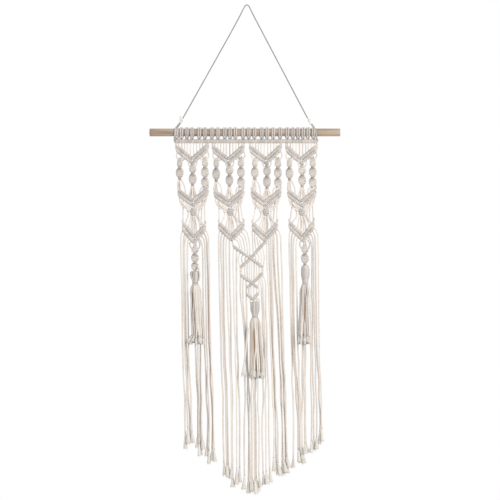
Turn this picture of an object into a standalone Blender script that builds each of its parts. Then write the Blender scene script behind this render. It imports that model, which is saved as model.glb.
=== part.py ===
"""Macrame wall hanging on a wooden dowel, with three tassels and a hanging cord.

The piece hangs from the origin: the underside of the hanging cord where it bends over
its nail. X runs along the dowel, Z is up and the front faces -Y. The sizes below are in
millimetres, and each mesh or curve is made in metres through MM.
"""

import math
from collections import namedtuple

import bmesh
import bpy
import numpy as np

MM = 0.001
CLEARANCE = 0.3
WELD = 0.00001
FLAT_ANGLE = 0.0005
THINNED = 0.87
SHARP_EDGE = 40.0

# ---------------------------------------------------------------- cords and the dowel
CORD_DIAMETER = 3.5
HANGER_DIAMETER = 2.8
DOWEL_DIAMETER = 17.5
DOWEL_LEFT = -220.4
DOWEL_RIGHT = 208.6
DOWEL_Z = -285.6
DOWEL_SIDES = 24
DOWEL_EDGE = 1.0

# ---------------------------------------------------------------- head of the panel
LARKS_HEADS_X = (
    -158.3, -147.8, -135.6, -123.0, -107.5, -94.0, -80.2, -66.0, -51.4, -38.0, -25.5, -10.0,
    3.2, 17.8, 31.6, 45.0, 59.0, 74.6, 88.6, 101.8, 113.6, 125.0, 136.4, 148.0,
)
HEADER_LEFT = -164.0
HEADER_RIGHT = 158.5
HEADER_Z = -305.6
HEADER_HEIGHT = 8.2
HEADER_DEPTH = 8.4
HEADER_RIDGES = 16
RIDGE_DIP = 0.84

# ---------------------------------------------------------------- four knotted columns
Column = namedtuple("Column", "centre_x tip_shift")
COLUMNS = (
    Column(-123.0, 3.0),
    Column(-42.0, 6.0),
    Column(42.0, -1.5),
    Column(121.0, 2.0),
)

# A chevron is a double row of hitches: two arms fall from their outer ends to the tip.
Chevron = namedtuple("Chevron", "outer_z tip_z half_width band")
UPPER_CHEVRON = Chevron(-321.0, -347.5, 34.5, 14.0)
MIDDLE_CHEVRON = Chevron(-419.5, -443.7, 31.5, 14.5)
LOWER_CHEVRON = Chevron(-495.5, -524.0, 26.0, 12.5)
CHEVRON_DEPTH = 8.0
ARM_SEGMENTS = 4

# A sinnet of half knots turns as it grows: it is widest where it faces the front.
Sinnet = namedtuple("Sinnet", "x top_z bottom_z bulge_z half_turn")
COLUMN_SINNETS = (
    Sinnet(-29.0, -330.0, -392.0, -352.0, 24.0),
    Sinnet(0.5, -350.0, -406.0, -366.0, 27.0),
    Sinnet(27.0, -330.0, -410.0, -350.0, 23.5),
)
SINNET_WIDTH = 15.5
SINNET_THICKNESS = 7.0
SINNET_RINGS_PER_HALF_TURN = 4

SQUARE_KNOT_Z = -464.0
SQUARE_KNOT_WIDTH = 19.0
SQUARE_KNOT_HEIGHT = 17.0
SQUARE_KNOT_DEPTH = 9.5

# Strands of a column, by their offset from its centre or by their place along an arm,
# which runs from 0 at its outer end to 1 at the tip.
STRAND_Y = 0.4
HEADER_STRANDS_X = (-23.5, -17.0, -10.5, -3.8, 3.8, 10.5, 17.0, 23.5)
SINNET_FANS_X = ((-29.5, -18.0), (-8.0, 0.0, 8.0), (18.0, 28.5))
SINNET_FAN_STEP = 1.6
SINNET_LAP = 3.0
SPREAD_ARM_PLACES = (0.12, 0.42, 0.72)
SPREAD_FROM_KNOT = 6.5
GatheredStrand = namedtuple("GatheredStrand", "place turn_in turn_drop end_x end_rise")
GATHERED_STRANDS = (
    GatheredStrand(0.12, 2.0, 18.5, 6.5, 0.5),
    GatheredStrand(0.42, 2.5, 14.5, 3.5, 4.5),
)
GATHERED_Y = -1.0
OuterStrand = namedtuple("OuterStrand", "top_x middle_x bottom_x")
OUTER_TOP_Y = 1.6
OUTER_MIDDLE_Y = 3.4
OUTER_STRANDS = (
    OuterStrand(-20.5, -22.5, -24.0),
    OuterStrand(20.0, 21.5, 20.5),
    OuterStrand(26.0, 28.5, 25.0),
)

# ---------------------------------------------------------------- centre cross
# Two single bars cross, part round a diamond, cross again and part round a small eye.
# X is measured from the line of the crossings.
CROSS_X = 9.5
Bend = namedtuple("Bend", "x z")
LEFT_BAR = (
    Bend(-45.0, -522.0), Bend(-41.0, -541.0), Bend(-20.0, -556.5), Bend(0.0, -569.0),
    Bend(13.0, -580.0), Bend(24.5, -590.0), Bend(24.5, -600.0), Bend(12.0, -612.0),
    Bend(0.0, -622.5), Bend(-9.5, -633.0), Bend(-10.5, -643.0), Bend(-4.0, -654.0),
    Bend(6.0, -661.0),
)
RIGHT_BAR = (
    Bend(31.0, -522.0), Bend(24.0, -541.0), Bend(14.0, -553.0), Bend(0.0, -569.0),
    Bend(-13.0, -580.0), Bend(-25.0, -590.0), Bend(-25.5, -601.0), Bend(-12.0, -612.0),
    Bend(0.0, -622.5), Bend(10.5, -633.0), Bend(13.5, -642.0), Bend(12.0, -653.0),
    Bend(8.0, -661.0),
)
SINGLE_BAR = 8.2
SINGLE_BAR_RIDGES = 12
BAR_SIDES = 5

# Strands between the bars: where each starts, bows and ends.
Link = namedtuple("Link", "top_x top_z bow_x bow_z end_x end_z")
LINKS = (
    Link(-28.0, -523.0, -27.0, -534.0, -26.0, -546.0),
    Link(-22.0, -517.0, -14.6, -534.0, -14.6, -554.0),
    Link(-17.0, -511.0, -7.0, -530.0, -6.5, -559.0),
    Link(-12.0, -505.0, 0.0, -524.0, 1.0, -563.0),
    Link(15.5, -507.0, 9.5, -524.0, 9.5, -566.0),
    Link(19.5, -512.0, 16.0, -534.0, 16.5, -560.0),
    Link(25.0, -517.0, 24.0, -534.0, 24.5, -552.0),
    Link(-20.0, -552.0, -23.0, -568.0, -15.0, -588.0),
    Link(-9.0, -559.0, -13.0, -570.0, -7.0, -582.0),
    Link(30.0, -547.0, 38.0, -565.0, 33.0, -588.0),
    Link(22.0, -556.0, 30.0, -569.0, 25.0, -582.0),
    Link(-4.5, -580.0, -4.5, -595.0, -4.5, -610.0),
    Link(2.5, -575.0, 2.5, -595.0, 2.5, -616.0),
    Link(9.5, -570.0, 9.5, -595.0, 9.5, -621.0),
    Link(16.5, -575.0, 16.5, -595.0, 16.5, -616.0),
    Link(23.5, -580.0, 23.5, -595.0, 23.5, -610.0),
)

# ---------------------------------------------------------------- tassels
Tassel = namedtuple(
    "Tassel",
    "name x head_radius head_top_z tie_z hem_z hem_x hem_half_width hem_half_depth forward"
    " strands",
)
TASSELS = (
    Tassel("tassel_left", -117.5, 9.2, -597.5, -625.5, -758.0, -114.3, 17.6, 10.0, 9.0, 18),
    Tassel("tassel_center", 17.0, 10.7, -664.5, -699.8, -837.0, 13.5, 29.0, 11.0, 11.0, 26),
    Tassel("tassel_right", 130.0, 9.6, -584.0, -626.0, -758.0, 127.8, 15.6, 10.0, 9.0, 16),
)
TASSEL_SINNETS = (
    Sinnet(-118.5, -528.0, -595.0, -544.5, 22.0),
    Sinnet(129.0, -527.0, -581.5, -545.5, 24.5),
)
CORE_RADIUS = 4.2
CORE_SIDES = 6
HEAD_SIDES = 12
TIE_RADIUS = 6.6
SHOULDER_RADIUS = 9.8
SHOULDER_DROP = 9.0
SKIRT_ROOT_RADIUS = 7.4
SKIRT_ROOT_SIZE = 0.75

# ---------------------------------------------------------------- fringe
# Each row is a group of neighbouring cords, from its left cord (a) to its right one (b):
# their roots, their places where they first hang free, and their frayed ends.
Fringe = namedtuple(
    "Fringe",
    "count root_a root_b high_z high_a high_b middle_a middle_b hem_a hem_b hem_z_a hem_z_b",
)
FRINGE = (
    Fringe(4, (-144.0, -498.0), (-127.0, -516.0), -548.0, -150.8, -134.5, -147.0, -131.6,
           -140.6, -124.0, -998.0, -984.0),
    Fringe(4, (-113.0, -516.0), (-96.0, -498.0), -548.0, -101.5, -86.5, -92.0, -78.5,
           -89.0, -74.0, -1022.0, -1027.0),
    Fringe(6, (-60.0, -498.0), (-38.5, -521.0), -552.0, -65.3, -36.5, -60.0, -21.0,
           -52.0, -17.0, -1056.0, -1080.0),
    Fringe(4, (-15.5, -601.0), (-2.5, -612.0), -650.0, -15.8, -3.0, -11.0, 3.0,
           -5.0, 8.0, -1087.0, -1088.0),
    Fringe(4, (21.5, -612.0), (33.5, -601.0), -650.0, 33.0, 47.5, 36.0, 49.0,
           34.0, 53.0, -1078.0, -1071.0),
    Fringe(6, (43.0, -521.0), (64.5, -498.0), -552.0, 46.5, 75.4, 56.0, 83.0,
           60.5, 90.0, -1048.0, -1052.0),
    Fringe(4, (99.0, -498.0), (116.0, -516.0), -548.0, 94.5, 109.5, 100.0, 113.5,
           103.5, 119.0, -1040.0, -1028.0),
    Fringe(4, (130.0, -516.0), (147.0, -498.0), -548.0, 143.0, 159.8, 145.0, 162.7,
           147.0, 170.0, -1000.0, -974.0),
)
CoreEnds = namedtuple("CoreEnds", "skirt_a skirt_b hem_a hem_b hem_z_a hem_z_b")
CORE_ENDS = (
    CoreEnds(-121.0, -108.0, -113.0, -97.0, -996.0, -1012.0),
    CoreEnds(6.0, 22.0, 14.0, 28.5, -1089.0, -1086.0),
    CoreEnds(121.5, 134.5, 124.5, 140.0, -1022.0, -1000.0),
)
CORE_STRANDS = 4
CORE_FREE_DEPTH = 1.0
CORE_STRAND_STEP = 1.8
FRINGE_MIDDLE_Z = -775.0
FRINGE_DEPTH = 6.0
FRINGE_STAGGER = 2.3
HEM_STEP = 6.5
FRAY_LENGTH = 18.0
FRAY_SIZE = 1.3
WAVE_HEIGHT = 1.8
WAVE_LENGTH = 260.0

# ---------------------------------------------------------------- hanging cord
# The cord's own line, as (x, z), from the left hitch over the nail to the right one. It
# is taut: straight on both sides, with one small bend at the nail.
HANGING_ROUTE = (
    (-145.8, -254.3), (-118.8, -206.4), (-90.1, -155.2), (-61.5, -104.1), (-33.0, -53.0),
    (-15.6, -20.5), (-9.2, -7.7), (-6.0, -1.9), (-3.9, 0.6), (-1.2, 1.4), (1.5, 0.5),
    (3.5, -1.9), (6.4, -7.8), (13.2, -21.6), (29.7, -53.2), (56.6, -104.4), (83.6, -155.6),
    (110.5, -206.8), (135.8, -254.7),
)
HANGING_POINTS = 80
Hitch = namedtuple("Hitch", "name knot loop_x tail")
HITCHES = (
    Hitch("hitch_left", (-147.6, -257.5), -165.9, (-150.6, -247.5)),
    Hitch("hitch_right", (137.6, -258.0), 155.2, (143.2, -266.8)),
)
KNOT_RADIUS = 3.4
LOOP_SHOULDER = 15.5
LOOP_STEP = 38.0

Finish = namedtuple("Finish", "color roughness")
COTTON = Finish((0.80, 0.76, 0.70), 0.95)
HANGER_COTTON = Finish((0.72, 0.70, 0.66), 0.9)
BEECH = Finish((0.58, 0.42, 0.27), 0.6)


# ---------------------------------------------------------------- scene and finishes
def clear_scene():
    for item in list(bpy.data.objects):
        bpy.data.objects.remove(item, do_unlink=True)


def shade_round(item):
    """Shade a round piece smooth and keep its real edges sharp."""
    item.data.shade_smooth()
    item.data.set_sharp_from_angle(angle=math.radians(SHARP_EDGE))


def collection(name):
    made = bpy.data.collections.new(name)
    bpy.context.scene.collection.children.link(made)
    return made


def finish(item, kind):
    """Give an object its own plain material."""
    material = bpy.data.materials.new(item.name)
    material.use_nodes = True
    shader = material.node_tree.nodes["Principled BSDF"]
    shader.inputs["Base Color"].default_value = (*kind.color, 1.0)
    shader.inputs["Roughness"].default_value = kind.roughness
    shader.inputs["Metallic"].default_value = 0.0
    item.data.materials.append(material)


# ---------------------------------------------------------------- making shapes
class Lofts:
    """Closed bodies, each lofted through rings of points, gathered into one mesh."""

    def __init__(self):
        self.points = []
        self.faces = []

    def add(self, rings):
        """Join ring to ring with quads and close both ends."""
        rings = np.asarray(rings, dtype=float)
        ring_count, ring_size = rings.shape[:2]
        first = len(self.points)
        self.points.extend(rings.reshape(-1, 3) * MM)
        for ring in range(ring_count - 1):
            low = first + ring * ring_size
            high = low + ring_size
            for corner in range(ring_size):
                after = (corner + 1) % ring_size
                self.faces.append((low + corner, low + after, high + after, high + corner))
        self.faces.append(tuple(range(first, first + ring_size)))
        last = first + (ring_count - 1) * ring_size
        self.faces.append(tuple(range(last + ring_size - 1, last - 1, -1)))

    def object(self, name, home):
        mesh = bpy.data.meshes.new(name)
        mesh.from_pydata([tuple(point) for point in self.points], [], self.faces)
        work = bmesh.new()
        work.from_mesh(mesh)
        bmesh.ops.connect_verts_nonplanar(work, faces=work.faces, angle_limit=FLAT_ANGLE)
        bmesh.ops.recalc_face_normals(work, faces=work.faces)
        work.to_mesh(mesh)
        work.free()
        item = bpy.data.objects.new(name, mesh)
        home.objects.link(item)
        return item


def strand_section(home):
    """A closed triangle, as wide as a cord, which is carried along every strand."""
    curve = bpy.data.curves.new("strand_section", "CURVE")
    curve.dimensions = "2D"
    spline = curve.splines.new("POLY")
    spline.points.add(2)
    radius = CORD_DIAMETER / math.sqrt(3.0) * MM
    for corner, point in enumerate(spline.points):
        angle = math.radians(90.0 + 120.0 * corner)
        point.co = (radius * math.cos(angle), radius * math.sin(angle), 0.0, 1.0)
    spline.use_cyclic_u = True
    item = bpy.data.objects.new("strand_section", curve)
    home.objects.link(item)
    item.hide_render = True
    item.display_type = "WIRE"
    return item


def strands(name, routes, section, home):
    """One mesh of separate strands: each route is a list of (x, y, z, size)."""
    curve = bpy.data.curves.new(name, "CURVE")
    curve.dimensions = "3D"
    curve.bevel_mode = "OBJECT"
    curve.bevel_object = section
    curve.use_fill_caps = True
    for route in routes:
        spline = curve.splines.new("POLY")
        spline.points.add(len(route) - 1)
        for point, (x, y, z, size) in zip(spline.points, route):
            point.co = (x * MM, y * MM, z * MM, 1.0)
            point.radius = size
    return curve_to_mesh(bpy.data.objects.new(name, curve), home)


def curve_to_mesh(source, home):
    """Make a curve object a mesh of the same name, with its caps welded on."""
    home.objects.link(source)
    evaluated = source.evaluated_get(bpy.context.evaluated_depsgraph_get())
    mesh = bpy.data.meshes.new_from_object(evaluated)
    work = bmesh.new()
    work.from_mesh(mesh)
    bmesh.ops.remove_doubles(work, verts=work.verts, dist=WELD)
    bmesh.ops.connect_verts_nonplanar(work, faces=work.faces, angle_limit=FLAT_ANGLE)
    bmesh.ops.recalc_face_normals(work, faces=work.faces)
    work.to_mesh(mesh)
    work.free()
    name = source.name
    matrix = source.matrix_world.copy()
    bpy.data.objects.remove(source, do_unlink=True)
    item = bpy.data.objects.new(name, mesh)
    item.matrix_world = matrix
    home.objects.link(item)
    return item


def union(base, other):
    """Join the other object, and whatever overlaps within both, into the base."""
    other.hide_render = True
    other.display_type = "WIRE"
    joined = base.modifiers.new("join_" + other.name, "BOOLEAN")
    joined.operation = "UNION"
    joined.solver = "EXACT"
    joined.use_self = True
    joined.object = other


# ---------------------------------------------------------------- sections and rings
def bar_ring(centre, across, section, scale):
    """A bar's section at a point of the XZ plane: (u, y) along `across` and in depth."""
    x, z = centre
    return [
        (x + across[0] * u * scale, y * scale, z + across[1] * u * scale)
        for u, y in section
    ]


def double_row_section(band, depth):
    """Two ridges with a groove between them in front, and a flat back."""
    half = band / 2
    ridge = band / 4
    front = -depth / 2
    back = depth * 0.45
    return (
        (-half, 0.0), (-ridge, front), (0.0, front * 0.55), (ridge, front),
        (half, 0.0), (ridge, back), (-ridge, back),
    )


def round_section(width, depth, sides):
    turn = 2 * math.pi / sides
    return tuple(
        (width / 2 * math.cos(turn * side + turn / 2), depth / 2 * math.sin(turn * side + turn / 2))
        for side in range(sides)
    )


def bar_rings(route, section, ridges):
    """Rings along a route of (x, z) points, each ridge a wide ring between two dips."""
    route = np.asarray(route, dtype=float)
    steps = np.hypot(*np.diff(route, axis=0).T)
    along = np.concatenate(([0.0], np.cumsum(steps)))
    places = np.linspace(0.0, along[-1], 2 * ridges + 1)
    xs = np.interp(places, along, route[:, 0])
    zs = np.interp(places, along, route[:, 1])
    slope_x = np.gradient(xs)
    slope_z = np.gradient(zs)
    length = np.hypot(slope_x, slope_z)
    rings = []
    for ring, (x, z) in enumerate(zip(xs, zs)):
        across = (-slope_z[ring] / length[ring], slope_x[ring] / length[ring])
        scale = 1.0 if ring % 2 else RIDGE_DIP
        rings.append(bar_ring((x, z), across, section, scale))
    return rings


# ---------------------------------------------------------------- knots and bars
def arm_point(column, chevron, side, place):
    """The middle of a chevron's arm: place 0 is its outer end and 1 its tip."""
    centre_x = chevron_centre(column, chevron)
    x = centre_x + side * chevron.half_width * (1.0 - place)
    z = chevron.outer_z + (chevron.tip_z - chevron.outer_z) * place
    return x, z


def chevron_centre(column, chevron):
    shift = column.tip_shift if chevron is LOWER_CHEVRON else 0.0
    return column.centre_x + shift


def chevron_rings(column, chevron):
    """One double row from the left end, through the mitred tip, to the right end."""
    section = double_row_section(chevron.band, CHEVRON_DEPTH)
    drop = math.atan2(chevron.outer_z - chevron.tip_z, chevron.half_width)
    rings = []
    for step in range(-ARM_SEGMENTS, ARM_SEGMENTS + 1):
        side = 1 if step > 0 else -1
        place = 1.0 - abs(step) / ARM_SEGMENTS
        centre = arm_point(column, chevron, side, place)
        if step == 0:
            across = (0.0, 1.0 / math.cos(drop))
        else:
            across = (-side * math.sin(drop), math.cos(drop))
        scale = RIDGE_DIP if step % 2 else 1.0
        if abs(step) == ARM_SEGMENTS:
            scale = RIDGE_DIP
        rings.append(bar_ring(centre, across, section, scale))
    return rings


def sinnet_rings(sinnet):
    """A flat ribbon of knots that turns about its upright middle, waisted at its ends."""
    length = sinnet.top_z - sinnet.bottom_z
    steps = math.ceil(length / sinnet.half_turn * SINNET_RINGS_PER_HALF_TURN)
    rings = []
    for z in np.linspace(sinnet.top_z, sinnet.bottom_z, steps + 1):
        angle = math.pi * (sinnet.bulge_z - z) / sinnet.half_turn
        at_end = z in (sinnet.top_z, sinnet.bottom_z)
        width = (0.55 if at_end else 1.0) * SINNET_WIDTH / 2
        thickness = SINNET_THICKNESS / 2
        ring = []
        for u, v in ((-width, 0.0), (0.0, -thickness), (width, 0.0), (0.0, thickness)):
            x = u * math.cos(angle) - v * math.sin(angle)
            y = u * math.sin(angle) + v * math.cos(angle)
            ring.append((sinnet.x + x, y, z))
        rings.append(ring)
    return rings


def square_knot_rings(centre_x):
    """A lump of two wraps: wide at each wrap, narrower between and at both ends."""
    rows = ((0.5, 0.55), (0.28, 1.0), (0.0, 0.86), (-0.28, 1.0), (-0.5, 0.55))
    rings = []
    for height, size in rows:
        z = SQUARE_KNOT_Z + SQUARE_KNOT_HEIGHT * height
        section = round_section(SQUARE_KNOT_WIDTH * size, SQUARE_KNOT_DEPTH * size, 6)
        rings.append([(centre_x + u, y, z) for u, y in section])
    return rings


def larks_head_rings(x):
    """A doubled cord from the header, up over the dowel and down again behind it."""
    inner = DOWEL_DIAMETER / 2 + CLEARANCE
    corner = inner / math.cos(math.radians(25.0))
    foot = (HEADER_Z - DOWEL_Z, 1.2)
    path = [(-foot[1], foot[0])]
    for degrees in (125.0, 75.0, 25.0, -25.0, -75.0, -125.0):
        angle = math.radians(degrees)
        path.append((-corner * math.sin(angle), corner * math.cos(angle)))
    path.append((foot[1], foot[0]))
    path = np.array(path)
    slope = np.gradient(path, axis=0)
    slope /= np.hypot(*slope.T)[:, None]
    half = CORD_DIAMETER
    profile = ((-half, 0.0), (-half * 0.7, 3.5), (half * 0.7, 3.5), (half, 0.0))
    rings = []
    for (y, z), (step_y, step_z) in zip(path, slope):
        outward = (step_z, -step_y)
        if outward[0] * y + outward[1] * z < 0:
            outward = (-outward[0], -outward[1])
        rings.append([
            (x + u, y + outward[0] * out, DOWEL_Z + z + outward[1] * out)
            for u, out in profile
        ])
    return rings


# ---------------------------------------------------------------- strands
def column_routes(column):
    """The strands of one column, from the header down to its lowest chevron."""
    centre = column.centre_x
    routes = []
    for offset in HEADER_STRANDS_X:
        side = 1 if offset > 0 else -1
        place = 1.0 - abs(offset) / UPPER_CHEVRON.half_width
        x, z = arm_point(column, UPPER_CHEVRON, side, place)
        routes.append([(x, STRAND_Y, HEADER_Z, 1.0), (x, STRAND_Y, z, 1.0)])
    for sinnet, targets in zip(COLUMN_SINNETS, SINNET_FANS_X):
        middle = (len(targets) - 1) / 2
        for number, target in enumerate(targets):
            side = 1 if target > 0 else -1
            place = 1.0 - abs(target) / MIDDLE_CHEVRON.half_width
            x, z = arm_point(column, MIDDLE_CHEVRON, side, place)
            start_x = centre + sinnet.x + SINNET_FAN_STEP * (number - middle)
            start_z = sinnet.bottom_z + SINNET_LAP
            routes.append([(start_x, STRAND_Y, start_z, 1.0), (x, STRAND_Y, z, 1.0)])
    for side in (-1, 1):
        for strand in GATHERED_STRANDS:
            routes.append(gathered_route(column, side, strand))
        for place in SPREAD_ARM_PLACES:
            x, z = arm_point(column, LOWER_CHEVRON, side, place)
            start_x = centre + side * SPREAD_FROM_KNOT * (1.0 - place)
            start_z = SQUARE_KNOT_Z - SQUARE_KNOT_HEIGHT / 4
            routes.append([(start_x, STRAND_Y, start_z, 1.0), (x, STRAND_Y, z, 1.0)])
    for outer in OUTER_STRANDS:
        shifted = centre + column.tip_shift
        routes.append([
            (centre + outer.top_x, OUTER_TOP_Y, MIDDLE_CHEVRON.outer_z - 12.0, 1.0),
            (centre + outer.middle_x, OUTER_MIDDLE_Y, SQUARE_KNOT_Z + 8.0, 1.0),
            (shifted + outer.bottom_x, STRAND_Y, LOWER_CHEVRON.outer_z, 1.0),
        ])
    return routes


def gathered_route(column, side, strand):
    """A strand that leaves an arm's lower edge and slants along it to the square knot."""
    x, z = arm_point(column, MIDDLE_CHEVRON, side, strand.place)
    end_x = column.centre_x + side * strand.end_x
    return [
        (x, STRAND_Y, z, 1.0),
        (x - side * strand.turn_in, GATHERED_Y, z - strand.turn_drop, 1.0),
        (end_x, GATHERED_Y, SQUARE_KNOT_Z + strand.end_rise, 1.0),
    ]


def link_routes():
    return [
        [
            (link.top_x, STRAND_Y, link.top_z, 1.0),
            (link.bow_x, STRAND_Y, link.bow_z, 1.0),
            (link.end_x, STRAND_Y, link.end_z, 1.0),
        ]
        for link in LINKS
    ]


def between(a, b, share):
    return a + (b - a) * share


def wave(z, phase):
    return WAVE_HEIGHT * math.sin(2 * math.pi * z / WAVE_LENGTH + phase)


def fringe_routes():
    """Each group's cords leave their roots, hang with a slight wave and end frayed."""
    routes = []
    for group, row in enumerate(FRINGE):
        for number in range(row.count):
            share = number / (row.count - 1)
            odd = number % 2
            root_x, root_z = (between(a, b, share) for a, b in zip(row.root_a, row.root_b))
            high_x = between(row.high_a, row.high_b, share)
            middle_x = between(row.middle_a, row.middle_b, share)
            hem_x = between(row.hem_a, row.hem_b, share)
            hem_z = between(row.hem_z_a, row.hem_z_b, share) + HEM_STEP * odd
            depth = FRINGE_DEPTH + FRINGE_STAGGER * (1 if odd else -1)
            phase = 0.9 * group + 0.2 * number
            low_z = between(FRINGE_MIDDLE_Z, hem_z, 0.5)
            low_x = between(middle_x, hem_x, 0.5) + wave(low_z, phase)
            middle_x += wave(FRINGE_MIDDLE_Z, phase)
            routes.append([
                (root_x, STRAND_Y, root_z, 1.0),
                (high_x, depth * 0.6, row.high_z, 1.0),
                (middle_x, depth, FRINGE_MIDDLE_Z, 1.0),
                (low_x, depth, low_z, 1.0),
                (hem_x, depth, hem_z + FRAY_LENGTH, 1.0),
                (hem_x, depth, hem_z, FRAY_SIZE),
            ])
    return routes


def core_routes():
    """Four cords from each tassel's core, down inside its skirt and on to the hem."""
    routes = []
    for tassel, ends in zip(TASSELS, CORE_ENDS):
        for number in range(CORE_STRANDS):
            share = number / (CORE_STRANDS - 1)
            stagger = 1 if number % 2 else -1
            skirt_x = between(ends.skirt_a, ends.skirt_b, share)
            hem_x = between(ends.hem_a, ends.hem_b, share)
            hem_z = between(ends.hem_z_a, ends.hem_z_b, share) - HEM_STEP * (number % 2)
            start_x = tassel.x + CORE_STRAND_STEP * (number - (CORE_STRANDS - 1) / 2)
            free_y = CORE_FREE_DEPTH + FRINGE_STAGGER * stagger
            routes.append([
                (start_x, 0.0, tassel.tie_z - SHOULDER_DROP - 3.0, 1.0),
                (skirt_x, stagger * CORE_STRAND_STEP - tassel.forward, tassel.hem_z, 1.0),
                (hem_x, free_y, hem_z + FRAY_LENGTH, 1.0),
                (hem_x, free_y, hem_z, FRAY_SIZE),
            ])
    return routes


# ---------------------------------------------------------------- sub-parts
def add_macrame(home, cutters, section):
    """Bars and knots as one mesh, joined with all the strands that run between them."""
    bars = Lofts()
    for x in LARKS_HEADS_X:
        bars.add(larks_head_rings(x))
    header = ((HEADER_LEFT, HEADER_Z), (HEADER_RIGHT, HEADER_Z))
    header_section = round_section(HEADER_HEIGHT, HEADER_DEPTH, BAR_SIDES)
    bars.add(bar_rings(header, header_section, HEADER_RIDGES))
    for column in COLUMNS:
        for chevron in (UPPER_CHEVRON, MIDDLE_CHEVRON, LOWER_CHEVRON):
            bars.add(chevron_rings(column, chevron))
        for sinnet in COLUMN_SINNETS:
            bars.add(sinnet_rings(sinnet._replace(x=column.centre_x + sinnet.x)))
        bars.add(square_knot_rings(column.centre_x))
    single_section = round_section(SINGLE_BAR, SINGLE_BAR, BAR_SIDES)
    for bar in (LEFT_BAR, RIGHT_BAR):
        route = [(CROSS_X + bend.x, bend.z) for bend in bar]
        bars.add(bar_rings(route, single_section, SINGLE_BAR_RIDGES))
    for sinnet in TASSEL_SINNETS:
        bars.add(sinnet_rings(sinnet))
    for tassel in TASSELS:
        section_xy = round_section(2 * CORE_RADIUS, 2 * CORE_RADIUS, CORE_SIDES)
        top_z = tassel.head_top_z + 6.0
        bottom_z = tassel.tie_z - SHOULDER_DROP - 5.0
        bars.add([
            [(tassel.x + u, y, z) for u, y in section_xy] for z in (top_z, bottom_z)
        ])
    macrame = bars.object("macrame", home)
    routes = link_routes() + fringe_routes() + core_routes()
    for column in COLUMNS:
        routes += column_routes(column)
    union(macrame, strands("macrame_strands", routes, section, cutters))
    thinned = macrame.modifiers.new("thin_small_faces", "DECIMATE")
    thinned.decimate_type = "COLLAPSE"
    thinned.ratio = THINNED
    finish(macrame, COTTON)


def head_profile(tassel):
    """The tied head, from the top of its outside down to the shoulder and up its bore."""
    height = tassel.head_top_z - tassel.tie_z
    outline = ((0.0, 0.62), (0.12, 0.93), (0.4, 1.0), (0.62, 0.95), (0.8, 0.76))
    profile = [
        (tassel.head_radius * size, tassel.head_top_z - height * down)
        for down, size in outline
    ]
    bore = CORE_RADIUS + CLEARANCE
    profile += [
        (TIE_RADIUS, tassel.tie_z),
        (SHOULDER_RADIUS, tassel.tie_z - SHOULDER_DROP * 0.45),
        (SHOULDER_RADIUS, tassel.tie_z - SHOULDER_DROP),
        (bore, tassel.tie_z - SHOULDER_DROP),
        (bore, tassel.head_top_z),
    ]
    return profile


def add_tassel(tassel, home, cutters, section):
    """A turned head with a bore for the core, joined with the strands of its skirt."""
    profile = head_profile(tassel)
    mesh = bpy.data.meshes.new(tassel.name)
    count = len(profile)
    edges = [(corner, (corner + 1) % count) for corner in range(count)]
    mesh.from_pydata([(r * MM, 0.0, z * MM) for r, z in profile], edges, [])
    head = bpy.data.objects.new(tassel.name, mesh)
    head.location = (tassel.x * MM, 0.0, 0.0)
    home.objects.link(head)
    screw = head.modifiers.new("turn", "SCREW")
    screw.axis = "Z"
    screw.steps = HEAD_SIDES
    screw.render_steps = HEAD_SIDES
    screw.use_merge_vertices = True
    screw.merge_threshold = WELD
    routes = [skirt_route(tassel, number) for number in range(tassel.strands)]
    union(head, strands(tassel.name + "_skirt", routes, section, cutters))
    finish(head, COTTON)


def skirt_route(tassel, number):
    """A skirt strand spreads from the shoulder to an oval hem, set forward of the fringe."""
    angle = 2 * math.pi * (number + 0.5) / tassel.strands
    right = math.cos(angle)
    back = math.sin(angle)
    hem_width = tassel.hem_half_width - CORD_DIAMETER / 2
    hem_depth = tassel.hem_half_depth - CORD_DIAMETER / 2
    root_z = tassel.tie_z - SHOULDER_DROP * 0.6
    hem_z = tassel.hem_z + 3.0 * math.sin(3.7 * number)
    route = [(tassel.x + SKIRT_ROOT_RADIUS * right, SKIRT_ROOT_RADIUS * back, root_z,
              SKIRT_ROOT_SIZE)]
    for share, size in ((0.3, 1.0), (0.85, 1.0), (1.0, FRAY_SIZE)):
        spread = share ** 0.8
        width = between(SHOULDER_RADIUS, hem_width, spread)
        depth = between(SHOULDER_RADIUS, hem_depth, spread)
        forward = tassel.forward * spread
        x = between(tassel.x, tassel.hem_x, share) + width * right
        route.append((x, depth * back - forward, between(root_z, hem_z, share), size))
    return route


def add_dowel(home):
    length = DOWEL_RIGHT - DOWEL_LEFT
    bpy.ops.mesh.primitive_cylinder_add(
        vertices=DOWEL_SIDES, radius=DOWEL_DIAMETER / 2 * MM, depth=length * MM,
        location=((DOWEL_LEFT + DOWEL_RIGHT) / 2 * MM, 0.0, DOWEL_Z * MM),
        rotation=(0.0, math.pi / 2, 0.0),
    )
    dowel = bpy.context.object
    dowel.name = "dowel"
    for other in list(dowel.users_collection):
        other.objects.unlink(dowel)
    home.objects.link(dowel)
    edge = dowel.modifiers.new("eased_ends", "BEVEL")
    edge.width = DOWEL_EDGE * MM
    edge.segments = 1
    edge.limit_method = "ANGLE"
    edge.angle_limit = math.radians(60.0)
    shade_round(dowel)
    finish(dowel, BEECH)


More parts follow.
